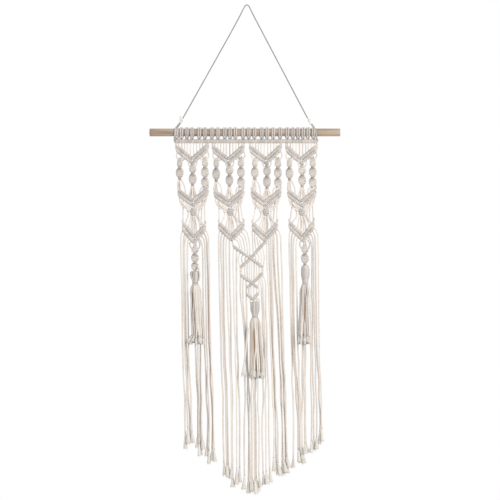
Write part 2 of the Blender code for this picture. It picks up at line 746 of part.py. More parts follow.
def hanging_route():
    """Evenly spaced points of one smooth curve through the points of the cord's line."""
    knots = np.array(HANGING_ROUTE)
    along = np.concatenate(([0.0], np.cumsum(np.hypot(*np.diff(knots, axis=0).T))))
    slopes = np.gradient(knots, along, axis=0)
    places = np.linspace(0.0, along[-1], HANGING_POINTS)
    span = np.clip(np.searchsorted(along, places, side="right") - 1, 0, len(knots) - 2)
    step = (along[span + 1] - along[span])[:, None]
    share = (places - along[span])[:, None] / step
    eased = share * share * (3.0 - 2.0 * share)
    leaving = share * (1.0 - share) ** 2 * step
    arriving = share * share * (share - 1.0) * step
    straight = knots[span] * (1.0 - eased) + knots[span + 1] * eased
    return straight + slopes[span] * leaving + slopes[span + 1] * arriving


def tube(name, routes, diameter, resolution):
    """A curve object of round cords along routes of (x, y, z) points."""
    curve = bpy.data.curves.new(name, "CURVE")
    curve.dimensions = "3D"
    curve.bevel_depth = diameter / 2 * MM
    curve.bevel_resolution = resolution
    curve.use_fill_caps = True
    for route in routes:
        spline = curve.splines.new("POLY")
        spline.points.add(len(route) - 1)
        for point, (x, y, z) in zip(spline.points, route):
            point.co = (x * MM, y * MM, z * MM, 1.0)
    return bpy.data.objects.new(name, curve)


def add_hanging_cord(home):
    route = [(x, 0.0, z) for x, z in hanging_route()]
    cord = tube("hanging_cord", [route], HANGER_DIAMETER, 2)
    home.objects.link(cord)
    finish(cord, HANGER_COTTON)


def hitch_loop(hitch):
    """From the knot down in front of the dowel, under it and up behind to the knot."""
    knot_x, knot_z = hitch.knot
    reach = (DOWEL_DIAMETER + HANGER_DIAMETER) / 2 + CLEARANCE
    corner = reach / math.cos(math.radians(LOOP_STEP / 2))
    shoulder_x = between(knot_x, hitch.loop_x, 0.86)
    shoulder_z = DOWEL_Z + LOOP_SHOULDER
    path = [(knot_x, -0.8, knot_z - 1.0), (shoulder_x, -4.5, shoulder_z)]
    for degrees in np.arange(70.0, 300.0, LOOP_STEP):
        angle = math.radians(degrees)
        path.append((hitch.loop_x, -corner * math.sin(angle), DOWEL_Z + corner * math.cos(angle)))
    path += [(shoulder_x, 4.5, shoulder_z), (knot_x, 0.8, knot_z - 1.0)]
    return path


def add_hitch(hitch, home, cutters):
    """A knot with the loop round the dowel and the cord's short tail joined to it."""
    knot_x, knot_z = hitch.knot
    mesh = bpy.data.meshes.new(hitch.name)
    work = bmesh.new()
    bmesh.ops.create_uvsphere(work, u_segments=8, v_segments=6, radius=KNOT_RADIUS * MM)
    work.to_mesh(mesh)
    work.free()
    knot = bpy.data.objects.new(hitch.name, mesh)
    knot.location = (knot_x * MM, 0.0, knot_z * MM)
    home.objects.link(knot)
    tail_x, tail_z = hitch.tail
    tail = [(knot_x, -0.6, knot_z), (between(knot_x, tail_x, 0.5), -1.4,
            between(knot_z, tail_z, 0.5)), (tail_x, -1.8, tail_z)]
    cords = tube(hitch.name + "_cords", [hitch_loop(hitch), tail], HANGER_DIAMETER, 1)
    union(knot, curve_to_mesh(cords, cutters))
    finish(knot, HANGER_COTTON)


# ---------------------------------------------------------------- the whole piece
def build():
    clear_scene()
    home = collection("macrame_wall_hanging")
    cutters = collection("cutters_and_guides")
    section = strand_section(cutters)
    add_dowel(home)
    add_macrame(home, cutters, section)
    for tassel in TASSELS:
        add_tassel(tassel, home, cutters, section)
    add_hanging_cord(home)
    for hitch in HITCHES:
        add_hitch(hitch, home, cutters)


build()
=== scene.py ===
"""Macrame wall hanging on a wooden dowel, with every cord, knot and tassel as it is worked.

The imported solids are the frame: a dowel, the knotted panel, three tassels, a hanging cord
and its two hitches. Each section makes one real piece, or one kind of knot or strand of
the panel, and lets it stand for its solid. X runs along the dowel, Z is up and the front
faces -Y. Sizes are in millimetres, and meshes are made in metres through MM.
"""

import math
from collections import namedtuple

import bpy
import numpy as np
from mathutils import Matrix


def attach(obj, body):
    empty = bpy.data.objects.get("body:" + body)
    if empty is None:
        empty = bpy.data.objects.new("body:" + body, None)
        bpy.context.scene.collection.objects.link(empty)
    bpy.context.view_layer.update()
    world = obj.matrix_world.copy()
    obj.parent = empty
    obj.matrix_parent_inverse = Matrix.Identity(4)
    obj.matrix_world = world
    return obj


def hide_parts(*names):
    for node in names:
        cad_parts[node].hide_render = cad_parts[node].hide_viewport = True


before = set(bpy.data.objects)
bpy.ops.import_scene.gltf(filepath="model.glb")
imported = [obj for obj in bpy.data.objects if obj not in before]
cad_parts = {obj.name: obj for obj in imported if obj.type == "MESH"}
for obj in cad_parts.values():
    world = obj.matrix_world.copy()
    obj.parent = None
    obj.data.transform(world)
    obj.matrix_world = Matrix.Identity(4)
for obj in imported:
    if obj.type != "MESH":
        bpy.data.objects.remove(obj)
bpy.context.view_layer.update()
scene = bpy.context.scene

# ---------------------------------------------------------------- camera
# A long lens stands level in front of the piece, so the dowel and the cords show straight
# on. Its square view holds the whole hanging, from the nail down to the fringe.
MM = 0.001
VIEW_WIDTH = 1125.0
VIEW_X = 5.6
VIEW_Z = -550.1
CAMERA_DISTANCE = 5000.0
SENSOR = 36.0


def linked(data):
    """An object of the scene that carries this data and has its name."""
    made = bpy.data.objects.new(data.name, data)
    scene.collection.objects.link(made)
    return made


lens = bpy.data.cameras.new("camera")
lens.sensor_width = SENSOR
lens.lens = SENSOR * CAMERA_DISTANCE / VIEW_WIDTH
camera = linked(lens)
camera.location = (VIEW_X * MM, -CAMERA_DISTANCE * MM, VIEW_Z * MM)
camera.rotation_euler = (math.radians(90.0), 0.0, 0.0)
scene.camera = camera

# ---------------------------------------------------------------- hanging cord
# A thin twisted cotton cord, tied to the dowel at both ends. It bends once, over a nail,
# and the weight of the piece keeps it taut.
HANGER_DIAMETER = 2.8
HANGER_RADIUS = HANGER_DIAMETER / 2
HANGER_LAY = 7.0
HANGING_ROUTE = (
    (-145.8, -254.3), (-118.8, -206.4), (-90.1, -155.2), (-61.5, -104.1), (-33.0, -53.0),
    (-15.6, -20.5), (-9.2, -7.7), (-6.0, -1.9), (-3.9, 0.6), (-1.2, 1.4), (1.5, 0.5),
    (3.5, -1.9), (6.4, -7.8), (13.2, -21.6), (29.7, -53.2), (56.6, -104.4), (83.6, -155.6),
    (110.5, -206.8), (135.8, -254.7),
)
HANGING_POINTS = 160
FRONT = np.array((0.0, -1.0, 0.0))


def unit(vectors):
    """Each vector divided by its own length."""
    return vectors / np.linalg.norm(vectors, axis=-1, keepdims=True)


def smooth_path(knots, count):
    """Evenly spaced points of a smooth curve through the knots.

    Between two knots it is the cubic with their places and slopes. A slope is the mean of
    the slopes of the steps on both sides, each weighted by the other step's length.
    """
    knots = np.asarray(knots, dtype=float)
    steps = np.linalg.norm(np.diff(knots, axis=0), axis=1)
    along = np.concatenate(([0.0], np.cumsum(steps)))
    slopes = np.gradient(knots, along, axis=0)
    places = np.linspace(0.0, along[-1], count)
    span = np.clip(np.searchsorted(along, places, side="right") - 1, 0, len(knots) - 2)
    step = (along[span + 1] - along[span])[:, None]
    share = (places - along[span])[:, None] / step
    eased = share * share * (3.0 - 2.0 * share)
    leaving = share * (1.0 - share) ** 2 * step
    arriving = share * share * (share - 1.0) * step
    straight = knots[span] * (1.0 - eased) + knots[span + 1] * eased
    return straight + slopes[span] * leaving + slopes[span + 1] * arriving


def carry_round(paths, radius, reference, sides=8, flat=1.0):
    """A round section carried along paths (tubes, points, 3), as (tubes, points, sides, 3).

    Square to the path, `out` is the direction nearest to the reference and `side` is
    square to both. At angle a the surface is the path + radius (flat cos a out + sin a
    side), so `flat` below 1 presses the cord down along `out`.
    """
    paths = np.asarray(paths, dtype=float)
    forward = unit(np.gradient(paths, axis=-2))
    side = unit(np.cross(forward, reference))
    out = np.cross(side, forward)
    angles = np.linspace(0.0, math.tau, sides, endpoint=False)
    ring = flat * np.cos(angles)[:, None] * out[..., None, :]
    ring = ring + np.sin(angles)[:, None] * side[..., None, :]
    reach = np.broadcast_to(radius, paths.shape[:-1])[..., None, None]
    return paths[..., None, :] + reach * ring


def cord_mesh(name, bundles):
    """One object made of tubes.

    A bundle is a grid of points (tubes, rings, sides, 3) and its tones, which spread over
    (tubes, rings). Quads join ring to ring, and a flat face closes each end. The UV map
    runs once round a tube in U and along it, in metres, in V.
    """
    points, corners, sizes, places, tones = [], [], [], [], []
    first = 0
    for grid, tone in bundles:
        tubes, rings, sides = grid.shape[:3]
        index = first + np.arange(tubes * rings * sides).reshape(tubes, rings, sides)
        beside = np.roll(index, -1, axis=2)
        quads = np.stack((index[:, :-1], beside[:, :-1], beside[:, 1:], index[:, 1:]), -1)
        caps = np.concatenate((index[:, 0, ::-1], index[:, -1]))
        steps = np.linalg.norm(np.diff(grid.mean(axis=2), axis=1), axis=2) * MM
        along = np.concatenate((np.zeros((tubes, 1)), np.cumsum(steps, axis=1)), axis=1)
        low = along[:, :-1, None]
        high = along[:, 1:, None]
        left = np.arange(sides) / sides
        right = left + 1.0 / sides
        quad_u = np.broadcast_to(np.stack((left, right, right, left), -1), quads.shape)
        quad_v = np.broadcast_to(np.stack((low, low, high, high), -1), quads.shape)
        cap_u = np.full(caps.shape, 0.5)
        cap_v = np.repeat(np.concatenate((along[:, 0], along[:, -1])), sides)
        points.append(grid.reshape(-1, 3) * MM)
        corners += [quads.ravel(), caps.ravel()]
        sizes += [np.full(quads.size // 4, 4), np.full(2 * tubes, sides)]
        places.append(np.stack((quad_u.ravel(), quad_v.ravel()), -1))
        places.append(np.stack((cap_u.ravel(), cap_v), -1))
        tones.append(np.repeat(np.broadcast_to(tone, (tubes, rings)).ravel(), sides))
        first += tubes * rings * sides
    corners = np.concatenate(corners)
    sizes = np.concatenate(sizes)
    mesh = bpy.data.meshes.new(name)
    mesh.vertices.add(first)
    mesh.vertices.foreach_set("co", np.concatenate(points).astype(np.float32).ravel())
    mesh.loops.add(len(corners))
    mesh.loops.foreach_set("vertex_index", corners.astype(np.int32))
    mesh.polygons.add(len(sizes))
    starts = np.concatenate(([0], np.cumsum(sizes)[:-1]))
    mesh.polygons.foreach_set("loop_start", starts.astype(np.int32))
    mesh.update(calc_edges=True)
    chart = mesh.uv_layers.new(name="UVMap")
    chart.uv.foreach_set("vector", np.concatenate(places).astype(np.float32).ravel())
    shade = mesh.attributes.new("tone", "FLOAT", "POINT")
    shade.data.foreach_set("value", np.concatenate(tones).astype(np.float32))
    mesh.shade_smooth()
    return linked(mesh)


class Shade:
    """A socket of a material's nodes, used as a value in Python expressions."""

    def __init__(self, tree, socket=None):
        self.tree = tree
        self.socket = socket

    def node(self, kind, settings=(), sockets=(), output=0):
        """Add a node, make its settings, then give its sockets their values or links."""
        made = self.tree.nodes.new("ShaderNode" + kind)
        for name, value in dict(settings).items():
            setattr(made, name, value)
        for name, value in dict(sockets).items():
            if isinstance(value, Shade):
                self.tree.links.new(value.socket, made.inputs[name])
            else:
                made.inputs[name].default_value = value
        return Shade(self.tree, made.outputs[output])

    def calc(self, operation, *others):
        """A calculation on this value, which comes first, and the others."""
        values = dict(enumerate((self, *others)))
        return self.node("Math", {"operation": operation}, values)

    def clipped(self):
        """This value, held between 0 and 1."""
        return self.calc("MAXIMUM", 0.0).calc("MINIMUM", 1.0)

    def axis(self, number):
        """One of the three coordinates of this place."""
        return self.node("SeparateXYZ", (), {0: self}, output=number)

    def stretched(self, *scale):
        """This place with each coordinate multiplied by its own scale."""
        return self.node("Mapping", (), {0: self, 3: scale})

    def noise(self, scale, detail):
        """Noise of 0 to 1 at this place, in patches about 1 / scale across."""
        return self.node("TexNoise", (), {"Vector": self, "Scale": scale, "Detail": detail})

    def mix(self, low, high):
        """A colour that runs from low, where this value is 0, to high, where it is 1."""
        sockets = {0: self, 6: low, 7: high}
        return self.node("Mix", {"data_type": "RGBA"}, sockets, output=2)

    def __add__(self, other):
        return self.calc("ADD", other)

    def __sub__(self, other):
        return self.calc("SUBTRACT", other)

    def __mul__(self, other):
        return self.calc("MULTIPLY", other)

    def __pow__(self, other):
        return self.calc("POWER", other)


def new_material(name, values):
    """A material whose shader has the given values, and its nodes as a Shade to build on."""
    material = bpy.data.materials.new(name)
    material.use_nodes = True
    tree = material.node_tree
    for socket, value in values.items():
        tree.nodes["Principled BSDF"].inputs[socket].default_value = value
    return material, Shade(tree)


def finish_surface(material, color, height, depth):
    """Give the shader its colour, and a bump of the given depth from a height of 0 to 1."""
    shader = material.node_tree.nodes["Principled BSDF"]
    sockets = {"Height": height, "Distance": depth * MM, "Strength": 1.0}
    bump = height.node("Bump", (), sockets)
    material.node_tree.links.new(color.socket, shader.inputs["Base Color"])
    material.node_tree.links.new(bump.socket, shader.inputs["Normal"])


# Painted shade: a dark colour mixed into the cotton where knots draw in, standing for the shade
# in their necks.
PAINTED_SHADE_COTTON = (0.19, 0.16, 0.14, 1.0)
# A tan brown: the colour of tan cords, and painted shadow on the inner cords seen down a tassel's
# parting.
TAN_AND_SHADOW_COTTON = (0.34, 0.235, 0.16, 1.0)
# Painted shade: multiplied into the grooves between the plies, where shade falls.
PAINTED_GROOVE_SHADE = (0.64, 0.60, 0.57, 1.0)
WHITE = (1.0, 1.0, 1.0, 1.0)
PLIES = 3


def twisted_cotton(name, warm, cool, lay, radius):
    """Plies laid in a twist: grooves run round the cord once in each lay, and fine fibres
    follow them, and painted shade darkens the grooves. A tone of 0 to 1 leads from the
    cool colour to the warm one. A tone below 0 mixes in a dark painted shade, as at the
    necks of knots, and one above 1 mixes in a tan brown: tan cords, and painted shadow in
    a tassel's parting."""
    surface = {"Roughness": 0.9, "Sheen Weight": 0.25, "Sheen Roughness": 0.6}
    material, paint = new_material(name, surface)
    chart = paint.node("UVMap", {"uv_map": "UVMap"})
    along = chart.axis(1)
    turn = chart.axis(0) + along * (1.0 / (lay * MM))
    ply = (turn * (math.pi * PLIES)).calc("SINE").calc("ABSOLUTE") ** 0.6
    place = paint.node("TexCoord", output=3)
    across = turn * (math.tau * radius * MM)
    fibre = paint.node("CombineXYZ", (), {0: across * 9.0, 1: along}).noise(900.0, 2.0)
    fuzz = place.noise(700.0, 3.0)
    patch = place.noise(45.0, 2.0)
    tone = paint.node("Attribute", {"attribute_name": "tone"}, output=2)
    warmth = (tone + (patch - 0.5) * 0.8).clipped()
    # Painted shade: a tone below 0 mixes in the dark shade colour.
    painted_shade = (tone * -1.0).calc("MAXIMUM", 0.0)
    # A tone above 1 mixes in the tan brown, which in a tassel's parting is painted shadow.
    tan_and_shadow = (tone - 1.0).calc("MAXIMUM", 0.0)
    color = tan_and_shadow.mix(painted_shade.mix(warmth.mix((*cool, 1.0), (*warm, 1.0)), PAINTED_SHADE_COTTON), TAN_AND_SHADOW_COTTON)
    # Painted groove shade: where the ply height is low, the colour is multiplied toward the
    # groove colour.
    depth = ply * 0.6 + fibre * 0.25 + fuzz * 0.15 + 0.18
    shaded = depth.calc("MINIMUM", 1.0)
    groove_shade = shaded.mix(PAINTED_GROOVE_SHADE, WHITE)
    multiply = {"data_type": "RGBA", "blend_type": "MULTIPLY"}
    mixed = paint.node("Mix", multiply, {0: 1.0, 6: color, 7: groove_shade}, output=2)
    finish_surface(material, mixed, ply * 0.7 + fibre * 0.2 + fuzz * 0.1, 0.35)
    return material


def fit(name, bundles, node, material):
    """Make a piece, dress it in the given material and let it stand for its hidden solid."""
    piece = cord_mesh(name, bundles)
    piece.data.materials.append(material)
    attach(piece, "root")
    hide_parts(node)
    return piece


hanging_path = smooth_path([(x, 0.0, z) for x, z in HANGING_ROUTE], HANGING_POINTS)
hanging_grid = carry_round(hanging_path[None], HANGER_RADIUS, FRONT, sides=10)
hanger_cotton = twisted_cotton(
    "hanger_cotton", (0.70, 0.67, 0.62), (0.22, 0.22, 0.215), HANGER_LAY, HANGER_RADIUS
)
twist = [(hanging_grid, 0.0)]
hanging_cord = fit("hanging_cord_twist", twist, "hanging_cord", hanger_cotton)
hanging_path[0] * MM
hanging_path * MM

# ---------------------------------------------------------------- hitches
# Each end of the hanging cord goes down before the dowel, under the header's end and up
# behind. It is tied above in an overhand knot, and leaves a short frayed tail.
DOWEL_DIAMETER = 17.5
DOWEL_Z = -285.6
Hitch = namedtuple("Hitch", "name knot front_x foot_x foot_z tail")
HITCHES = (
    Hitch(
        "hitch_left", (-148.6, -259.5), -163.2, -164.8, -305.5,
        ((-149.4, -266.5), (-150.6, -257.0), (-150.2, -249.0)),
    ),
    Hitch(
        "hitch_right", (139.0, -258.5), 153.4, 156.8, -304.5,
        ((138.6, -257.6), (141.0, -262.0), (143.2, -266.8)),
    ),
)
KNOT_SCALE = (0.75, 1.1, 0.95)
KNOT_ASLANT = FRONT + 0.3
LOOP_SHOULDER = 11.0
LOOP_CLEARANCE = 0.2
LOOP_ASLANT = (1.0, 0.0, 0.3)
TAIL_DIAMETER = 4.6
TAIL_Y = -2.4
TAIL_POINTS = 16


def overhand_path(centre_x, centre_z):
    """A tight overhand knot is a trefoil: x = sin t + 2 sin 2t, y = sin 3t and
    z = cos t - 2 cos 2t, each with its own scale about the knot's centre."""
    t = np.linspace(0.0, math.tau, 72)
    x = np.sin(t) + 2.0 * np.sin(2.0 * t)
    z = np.cos(t) - 2.0 * np.cos(2.0 * t)
    trefoil = np.stack((x, np.sin(3.0 * t), z), axis=-1) * KNOT_SCALE
    return trefoil + (centre_x, 0.0, centre_z)


def hitch_path(hitch):
    """From the knot down before the dowel, under the header and up behind the dowel.

    Round the dowel it is a circle, with angle a from the top. Its lower half is drawn to
    the foot by a share low = -cos a along the dowel, and by low^2 in height.
    """
    knot_x, knot_z = hitch.knot
    reach = (DOWEL_DIAMETER + HANGER_DIAMETER) / 2 + LOOP_CLEARANCE
    angles = np.radians(np.linspace(50.0, 310.0, 13))
    low = np.maximum(0.0, -np.cos(angles))
    round_dowel = np.stack((
        hitch.front_x + (hitch.foot_x - hitch.front_x) * low,
        -reach * np.sin(angles),
        DOWEL_Z + reach * np.cos(angles) + (hitch.foot_z - DOWEL_Z + reach) * low ** 2,
    ), axis=-1)
    shoulder_x = hitch.front_x + (knot_x - hitch.front_x) * 0.25
    shoulder_z = DOWEL_Z + LOOP_SHOULDER
    return np.concatenate((
        [(knot_x - 0.7, -1.0, knot_z - 1.0), (shoulder_x - 1.1, -3.5, shoulder_z)],
        round_dowel,
        [(shoulder_x + 1.1, 3.5, shoulder_z), (knot_x + 0.7, 1.0, knot_z - 1.0)],
    ))


for hitch in HITCHES:
    knot_path = overhand_path(*hitch.knot)[None]
    knot = carry_round(knot_path, HANGER_RADIUS, KNOT_ASLANT)
    loop_path = smooth_path(hitch_path(hitch), 90)[None]
    loop = carry_round(loop_path, HANGER_RADIUS, LOOP_ASLANT)
    tail_path = smooth_path([(x, TAIL_Y, z) for x, z in hitch.tail], TAIL_POINTS)[None]
    tail_radius = TAIL_DIAMETER / 2 * np.linspace(0.75, 1.1, TAIL_POINTS)
    tail = carry_round(tail_path, tail_radius, FRONT, flat=0.6)
    hitched = [(knot, 0.6), (loop, 0.2), (tail, 0.8)]
    fit(hitch.name + "_knot", hitched, hitch.name, hanger_cotton)

# ---------------------------------------------------------------- dowel
# A turned beech dowel, sanded and left plain, with a small eased edge at each end. Its
# grain runs lengthwise in fine darker flecks.
DOWEL_LEFT = -220.4
DOWEL_RIGHT = 208.6
DOWEL_RADIUS = DOWEL_DIAMETER / 2
DOWEL_END = ((0.0, 0.35), (0.0, 0.86), (0.25, 0.955), (1.0, 1.0))
PLAIN_INSET = 8.0
UNEVENNESS = 0.06


def turned_along_x(profile, sides):
    """A profile of (x, radius) rows turned about the dowel's axis, as the points of one
    tube: at angle a they are (x, radius cos a, radius sin a)."""
    profile = np.asarray(profile, dtype=float)
    angles = np.linspace(0.0, -math.tau, sides, endpoint=False)
    x = np.broadcast_to(profile[:, :1], (len(profile), sides))
    y = profile[:, 1:] * np.cos(angles)
    z = DOWEL_Z + profile[:, 1:] * np.sin(angles)
    return np.stack((x, y, z), axis=-1)[None]


def plain_beech():
    """Pale brown wood: long soft bands and fine pores drawn out along X. Painted light makes
    it darkest at the left end and paler towards the right, as if lit from the right; the
    change takes the first 200 mm."""
    material, paint = new_material("plain_beech", {"Roughness": 0.55})
    place = paint.node("TexCoord", output=3)
    band = place.stretched(9.0, 150.0, 150.0).noise(1.0, 4.0)
    fleck = place.stretched(60.0, 1300.0, 1300.0).noise(1.0, 3.0)
    grain = (band * 2.4 - 0.7 + (fleck - 0.5) * 0.5).clipped()
    # Painted light: darker at the left end and paler from the middle on, as if lit from the
    # right.
    drift = (place.axis(0) * 5.0 + 1.1).clipped()
    color = (grain * 0.7 + drift * 0.2).mix((0.16, 0.112, 0.08, 1.0), (0.45, 0.346, 0.252, 1.0))
    finish_surface(material, color, band * 0.4 + fleck * 0.6, 0.12)
    return material


left_end = [(DOWEL_LEFT + inset, DOWEL_RADIUS * size) for inset, size in DOWEL_END]
right_end = [(DOWEL_RIGHT - inset, DOWEL_RADIUS * size) for inset, size in DOWEL_END[::-1]]
dowel_body = [
    (x, DOWEL_RADIUS + UNEVENNESS * math.sin(x * 0.05))
    for x in np.linspace(DOWEL_LEFT + PLAIN_INSET, DOWEL_RIGHT - PLAIN_INSET, 30)
]
rod = turned_along_x(left_end + dowel_body + right_end, 40)
fit("dowel_beech", [(rod, 0.5)], "dowel", plain_beech())

# ---------------------------------------------------------------- lark's heads
# Twenty-four cotton cords are folded in half and hung on the dowel by lark's heads. The
# two legs of each lie side by side over the front, and its fold is held behind them.
CORD_DIAMETER = 3.5
CORD_RADIUS = CORD_DIAMETER / 2
CORD_LAY = 11.0
LARKS_HEADS_X = (
    -158.9, -148.9, -136.2, -124.9, -108.6, -95.8, -80.2, -66.4, -51.2, -39.2, -27.4, -10.0,
    2.8, 15.8, 32.0, 44.0, 57.8, 73.2, 89.4, 102.0, 113.6, 125.0, 136.0, 148.4,
)
LARKS_HEAD_LEG = (
    (0.0, 20.0, 2.9), (-3.0, 15.8, 2.65), (-14.0, 12.5, 2.35), (-40.0, 10.9, 2.15),
    (-65.0, 10.55, 2.15), (-90.0, 10.5, 2.15), (-135.0, 10.5, 2.1), (-180.0, 10.5, 2.1),
    (-225.0, 10.5, 2.1), (-265.0, 10.5, 2.1), (-300.0, 10.6, 2.4), (-328.0, 11.6, 3.0),
    (-342.0, 13.3, 2.2), (-345.0, 14.0, 0.0),
)


def larks_head_path(leg, count):
    """A leg's rows are an angle from straight down, which falls as it goes up the front
    of the dowel and over it, a distance from the dowel's axis, and one from the knot's
    middle. The other leg mirrors the first, and the fold between them is behind."""
    angle, reach, offset = np.array(leg).T
    angle = np.radians(angle)
    first = np.stack((offset, reach * np.sin(angle), -reach * np.cos(angle)), axis=-1)
    second = first[-2::-1] * (-1.0, 1.0, 1.0)
    return smooth_path(np.concatenate((first, second)), count)


chance = np.random.default_rng(41)
head_path = larks_head_path(LARKS_HEAD_LEG, 96)
radial = unit(head_path * (0.0, 1.0, 1.0)) + (1.0, 0.0, 0.0)
head_places = np.array([[(x, 0.0, DOWEL_Z)] for x in LARKS_HEADS_X])
heads = carry_round(head_path + head_places, CORD_RADIUS, radial)
head_tones = chance.uniform(-0.05, 0.2, (len(LARKS_HEADS_X), 1))
cotton = twisted_cotton(
    "cotton_cord", (0.68, 0.62, 0.56), (0.43, 0.40, 0.375), CORD_LAY, CORD_RADIUS
)
fit("larks_heads", [(heads, head_tones)], "macrame", cotton)

# ---------------------------------------------------------------- header
# One cord is held level below the dowel, and all forty-eight hanging cords are hitched
# over it twice. The hitches stand side by side as a close row of upright wraps.
HEADER_LEFT = -164.0
HEADER_RIGHT = 158.5
HEADER_Z = -305.4
HEADER_HEIGHT = 9.8
WRAP = 3.3
PAIRING = 0.05
CLOSING_TURN = 0.4
CORE_PAST_ENDS = 1.2


def along_path(path, places):
    """Points of a path at the given shares of its way, 0 at its start and 1 at its end."""
    share = np.linspace(0.0, 1.0, len(path))
    return np.stack([np.interp(places, share, path[:, axis]) for axis in range(3)], axis=-1)


def wound(core, thickness, start=0.0, hand=1.0, per_turn=12, lead=()):
    """A cord hitched over a core in a close row that ends up as thick as given.

    After t of the turns the point is core(place) + reach (cos a front + sin a up), with
    a = start + hand 2 pi t and place = (t + PAIRING sin(pi t)) / turns, which draws the
    wraps together in pairs. The reach falls to 0.6 of itself over the closing part of a
    turn at each end. The held cord follows the lead, then the core, a little past its ends.
    """
    span = np.linalg.norm(np.diff(core, axis=0), axis=1).sum()
    turns = round(span / WRAP)
    turned = np.linspace(0.0, turns, turns * per_turn + 1)
    fine = smooth_path(core, 4 * len(turned))
    middle = along_path(fine, (turned + PAIRING * np.sin(np.pi * turned)) / turns)
    forward = unit(np.gradient(middle, axis=0))
    up = unit(np.cross(forward, FRONT))
    ease = np.clip(np.minimum(turned, turns - turned) / CLOSING_TURN, 0.0, 1.0)
    reach = (thickness / 2 - CORD_RADIUS) * (0.6 + 0.4 * ease)
    angle = (start + hand * math.tau * turned)[:, None]
    outward = np.cos(angle) * FRONT + np.sin(angle) * up
    path = middle + reach[:, None] * outward
    tone = np.repeat(chance.uniform(0.0, 0.4, turns // 2 + 2), 2 * per_turn)[:len(turned)]
    wraps = carry_round(path[None], CORD_RADIUS, outward)
    ends = unit(middle[[0, -1]] - middle[[1, -2]]) * CORE_PAST_ENDS
    first = smooth_path([*lead, middle[0]], 12)[:-1] if lead else middle[:1] + ends[:1]
    held = np.concatenate((first, middle[1:-1:4], middle[-1:] + ends[1:]))
    return [(wraps, tone[None]), (carry_round(held[None], CORD_RADIUS, FRONT), 0.4)]


header_core = [(x, 0.0, HEADER_Z) for x in (HEADER_LEFT, 0.0, HEADER_RIGHT)]
fit("header_row", wound(header_core, HEADER_HEIGHT), "macrame", cotton)

# ---------------------------------------------------------------- chevrons
# Three V shapes stand one below the other in each column. Each arm is two rows of double
# half hitches, worked over a cord that slants from the column's edge down to the middle.
Chevron = namedtuple("Chevron", "left tip right left_band right_band")


def rows_of(kind, *rows):
    """A named tuple of this kind for each row of values."""
    return [kind(*row) for row in rows]


UPPER_CHEVRONS = rows_of(
    Chevron,
    ((-158.2, -322.4), (-124.2, -349.7), (-90.4, -319.7), 15.4, 16.0),
    ((-76.1, -323.3), (-43.2, -350.6), (-10.1, -321.5), 15.0, 15.6),
    ((7.9, -323.8), (42.1, -350.1), (74.0, -320.6), 16.2, 15.0),
    ((89.3, -322.9), (120.4, -349.7), (154.1, -322.0), 15.4, 15.4),
)
MIDDLE_CHEVRONS = rows_of(
    Chevron,
    ((-154.1, -421.4), (-123.3, -444.4), (-90.2, -417.8), 16.2, 17.2),
    ((-73.1, -422.8), (-40.9, -445.9), (-10.1, -420.3), 16.4, 16.8),
    ((10.8, -423.0), (40.7, -446.4), (73.6, -420.8), 17.0, 17.2),
    ((92.7, -422.8), (123.1, -445.7), (152.6, -420.1), 17.0, 16.8),
)
LOWER_CHEVRONS = rows_of(
    Chevron,
    ((-144.2, -497.9), (-119.9, -527.2), (-96.1, -499.1), 17.6, 14.4),
    ((-62.8, -496.1), (-35.3, -522.2), (-9.4, -494.3), 16.2, 14.6),
    ((12.8, -497.0), (40.1, -523.6), (65.7, -495.2), 17.4, 14.8),
    ((95.6, -494.1), (126.2, -524.5), (148.1, -493.4), 15.8, 14.2),
)
ARM_SHARES = (0.0, 0.35, 0.7, 1.0)
ROW_OVERLAP = 0.7
TIP_CROSSING_Y = 1.2
LEAD_ASIDE = (1.5, 2.1)
LEAD_RISE = (9.0, 4.0)
LEAD_Y = 0.6


def arm_point(chevron, side, place, lift=0.0):
    """The middle of an arm, on the left for side -1: place 0 is its outer end, 1 its tip."""
    end_x, end_z = chevron.left if side < 0 else chevron.right
    tip_x, tip_z = chevron.tip
    return end_x + (tip_x - end_x) * place, 0.0, end_z + (tip_z - end_z) * place + lift


def arm_at(chevron, x):
    """The middle of whichever arm stands at x."""
    side = -1 if x < chevron.tip[0] else 1
    end_x = arm_point(chevron, side, 0.0)[0]
    return arm_point(chevron, side, (x - end_x) / (chevron.tip[0] - end_x))


chevron_rows = []
for chevron in UPPER_CHEVRONS + MIDDLE_CHEVRONS + LOWER_CHEVRONS:
    for side, band in ((-1, chevron.left_band), (1, chevron.right_band)):
        end_x, _, end_z = arm_point(chevron, side, 0.0)
        slope = math.atan2(end_z - chevron.tip[1], abs(chevron.tip[0] - end_x))
        shift = band / 4 / math.cos(slope)
        for lift in (shift, -shift):
            core = np.array([arm_point(chevron, side, place, lift) for place in ARM_SHARES])
            core[-2:, 1] = -TIP_CROSSING_Y * side
            lead_x = [core[0, 0] + side * aside for aside in LEAD_ASIDE]
            lead_z = [core[0, 2] + rise for rise in LEAD_RISE]
            if chevron in UPPER_CHEVRONS:
                lead_z[0] = HEADER_Z
            lead = [(x, LEAD_Y, z) for x, z in zip(lead_x, lead_z)]
            chevron_rows += wound(
                core, band / 2 + ROW_OVERLAP, start=2.0, hand=side, per_turn=10, lead=lead
            )
fit("chevron_rows", chevron_rows, "macrame", cotton)

# ---------------------------------------------------------------- sinnets
# Four cords make each sinnet: two hang straight, and the outer two are tied round them in
# half knots. All half knots lean one way, so the flat braid turns as it grows.

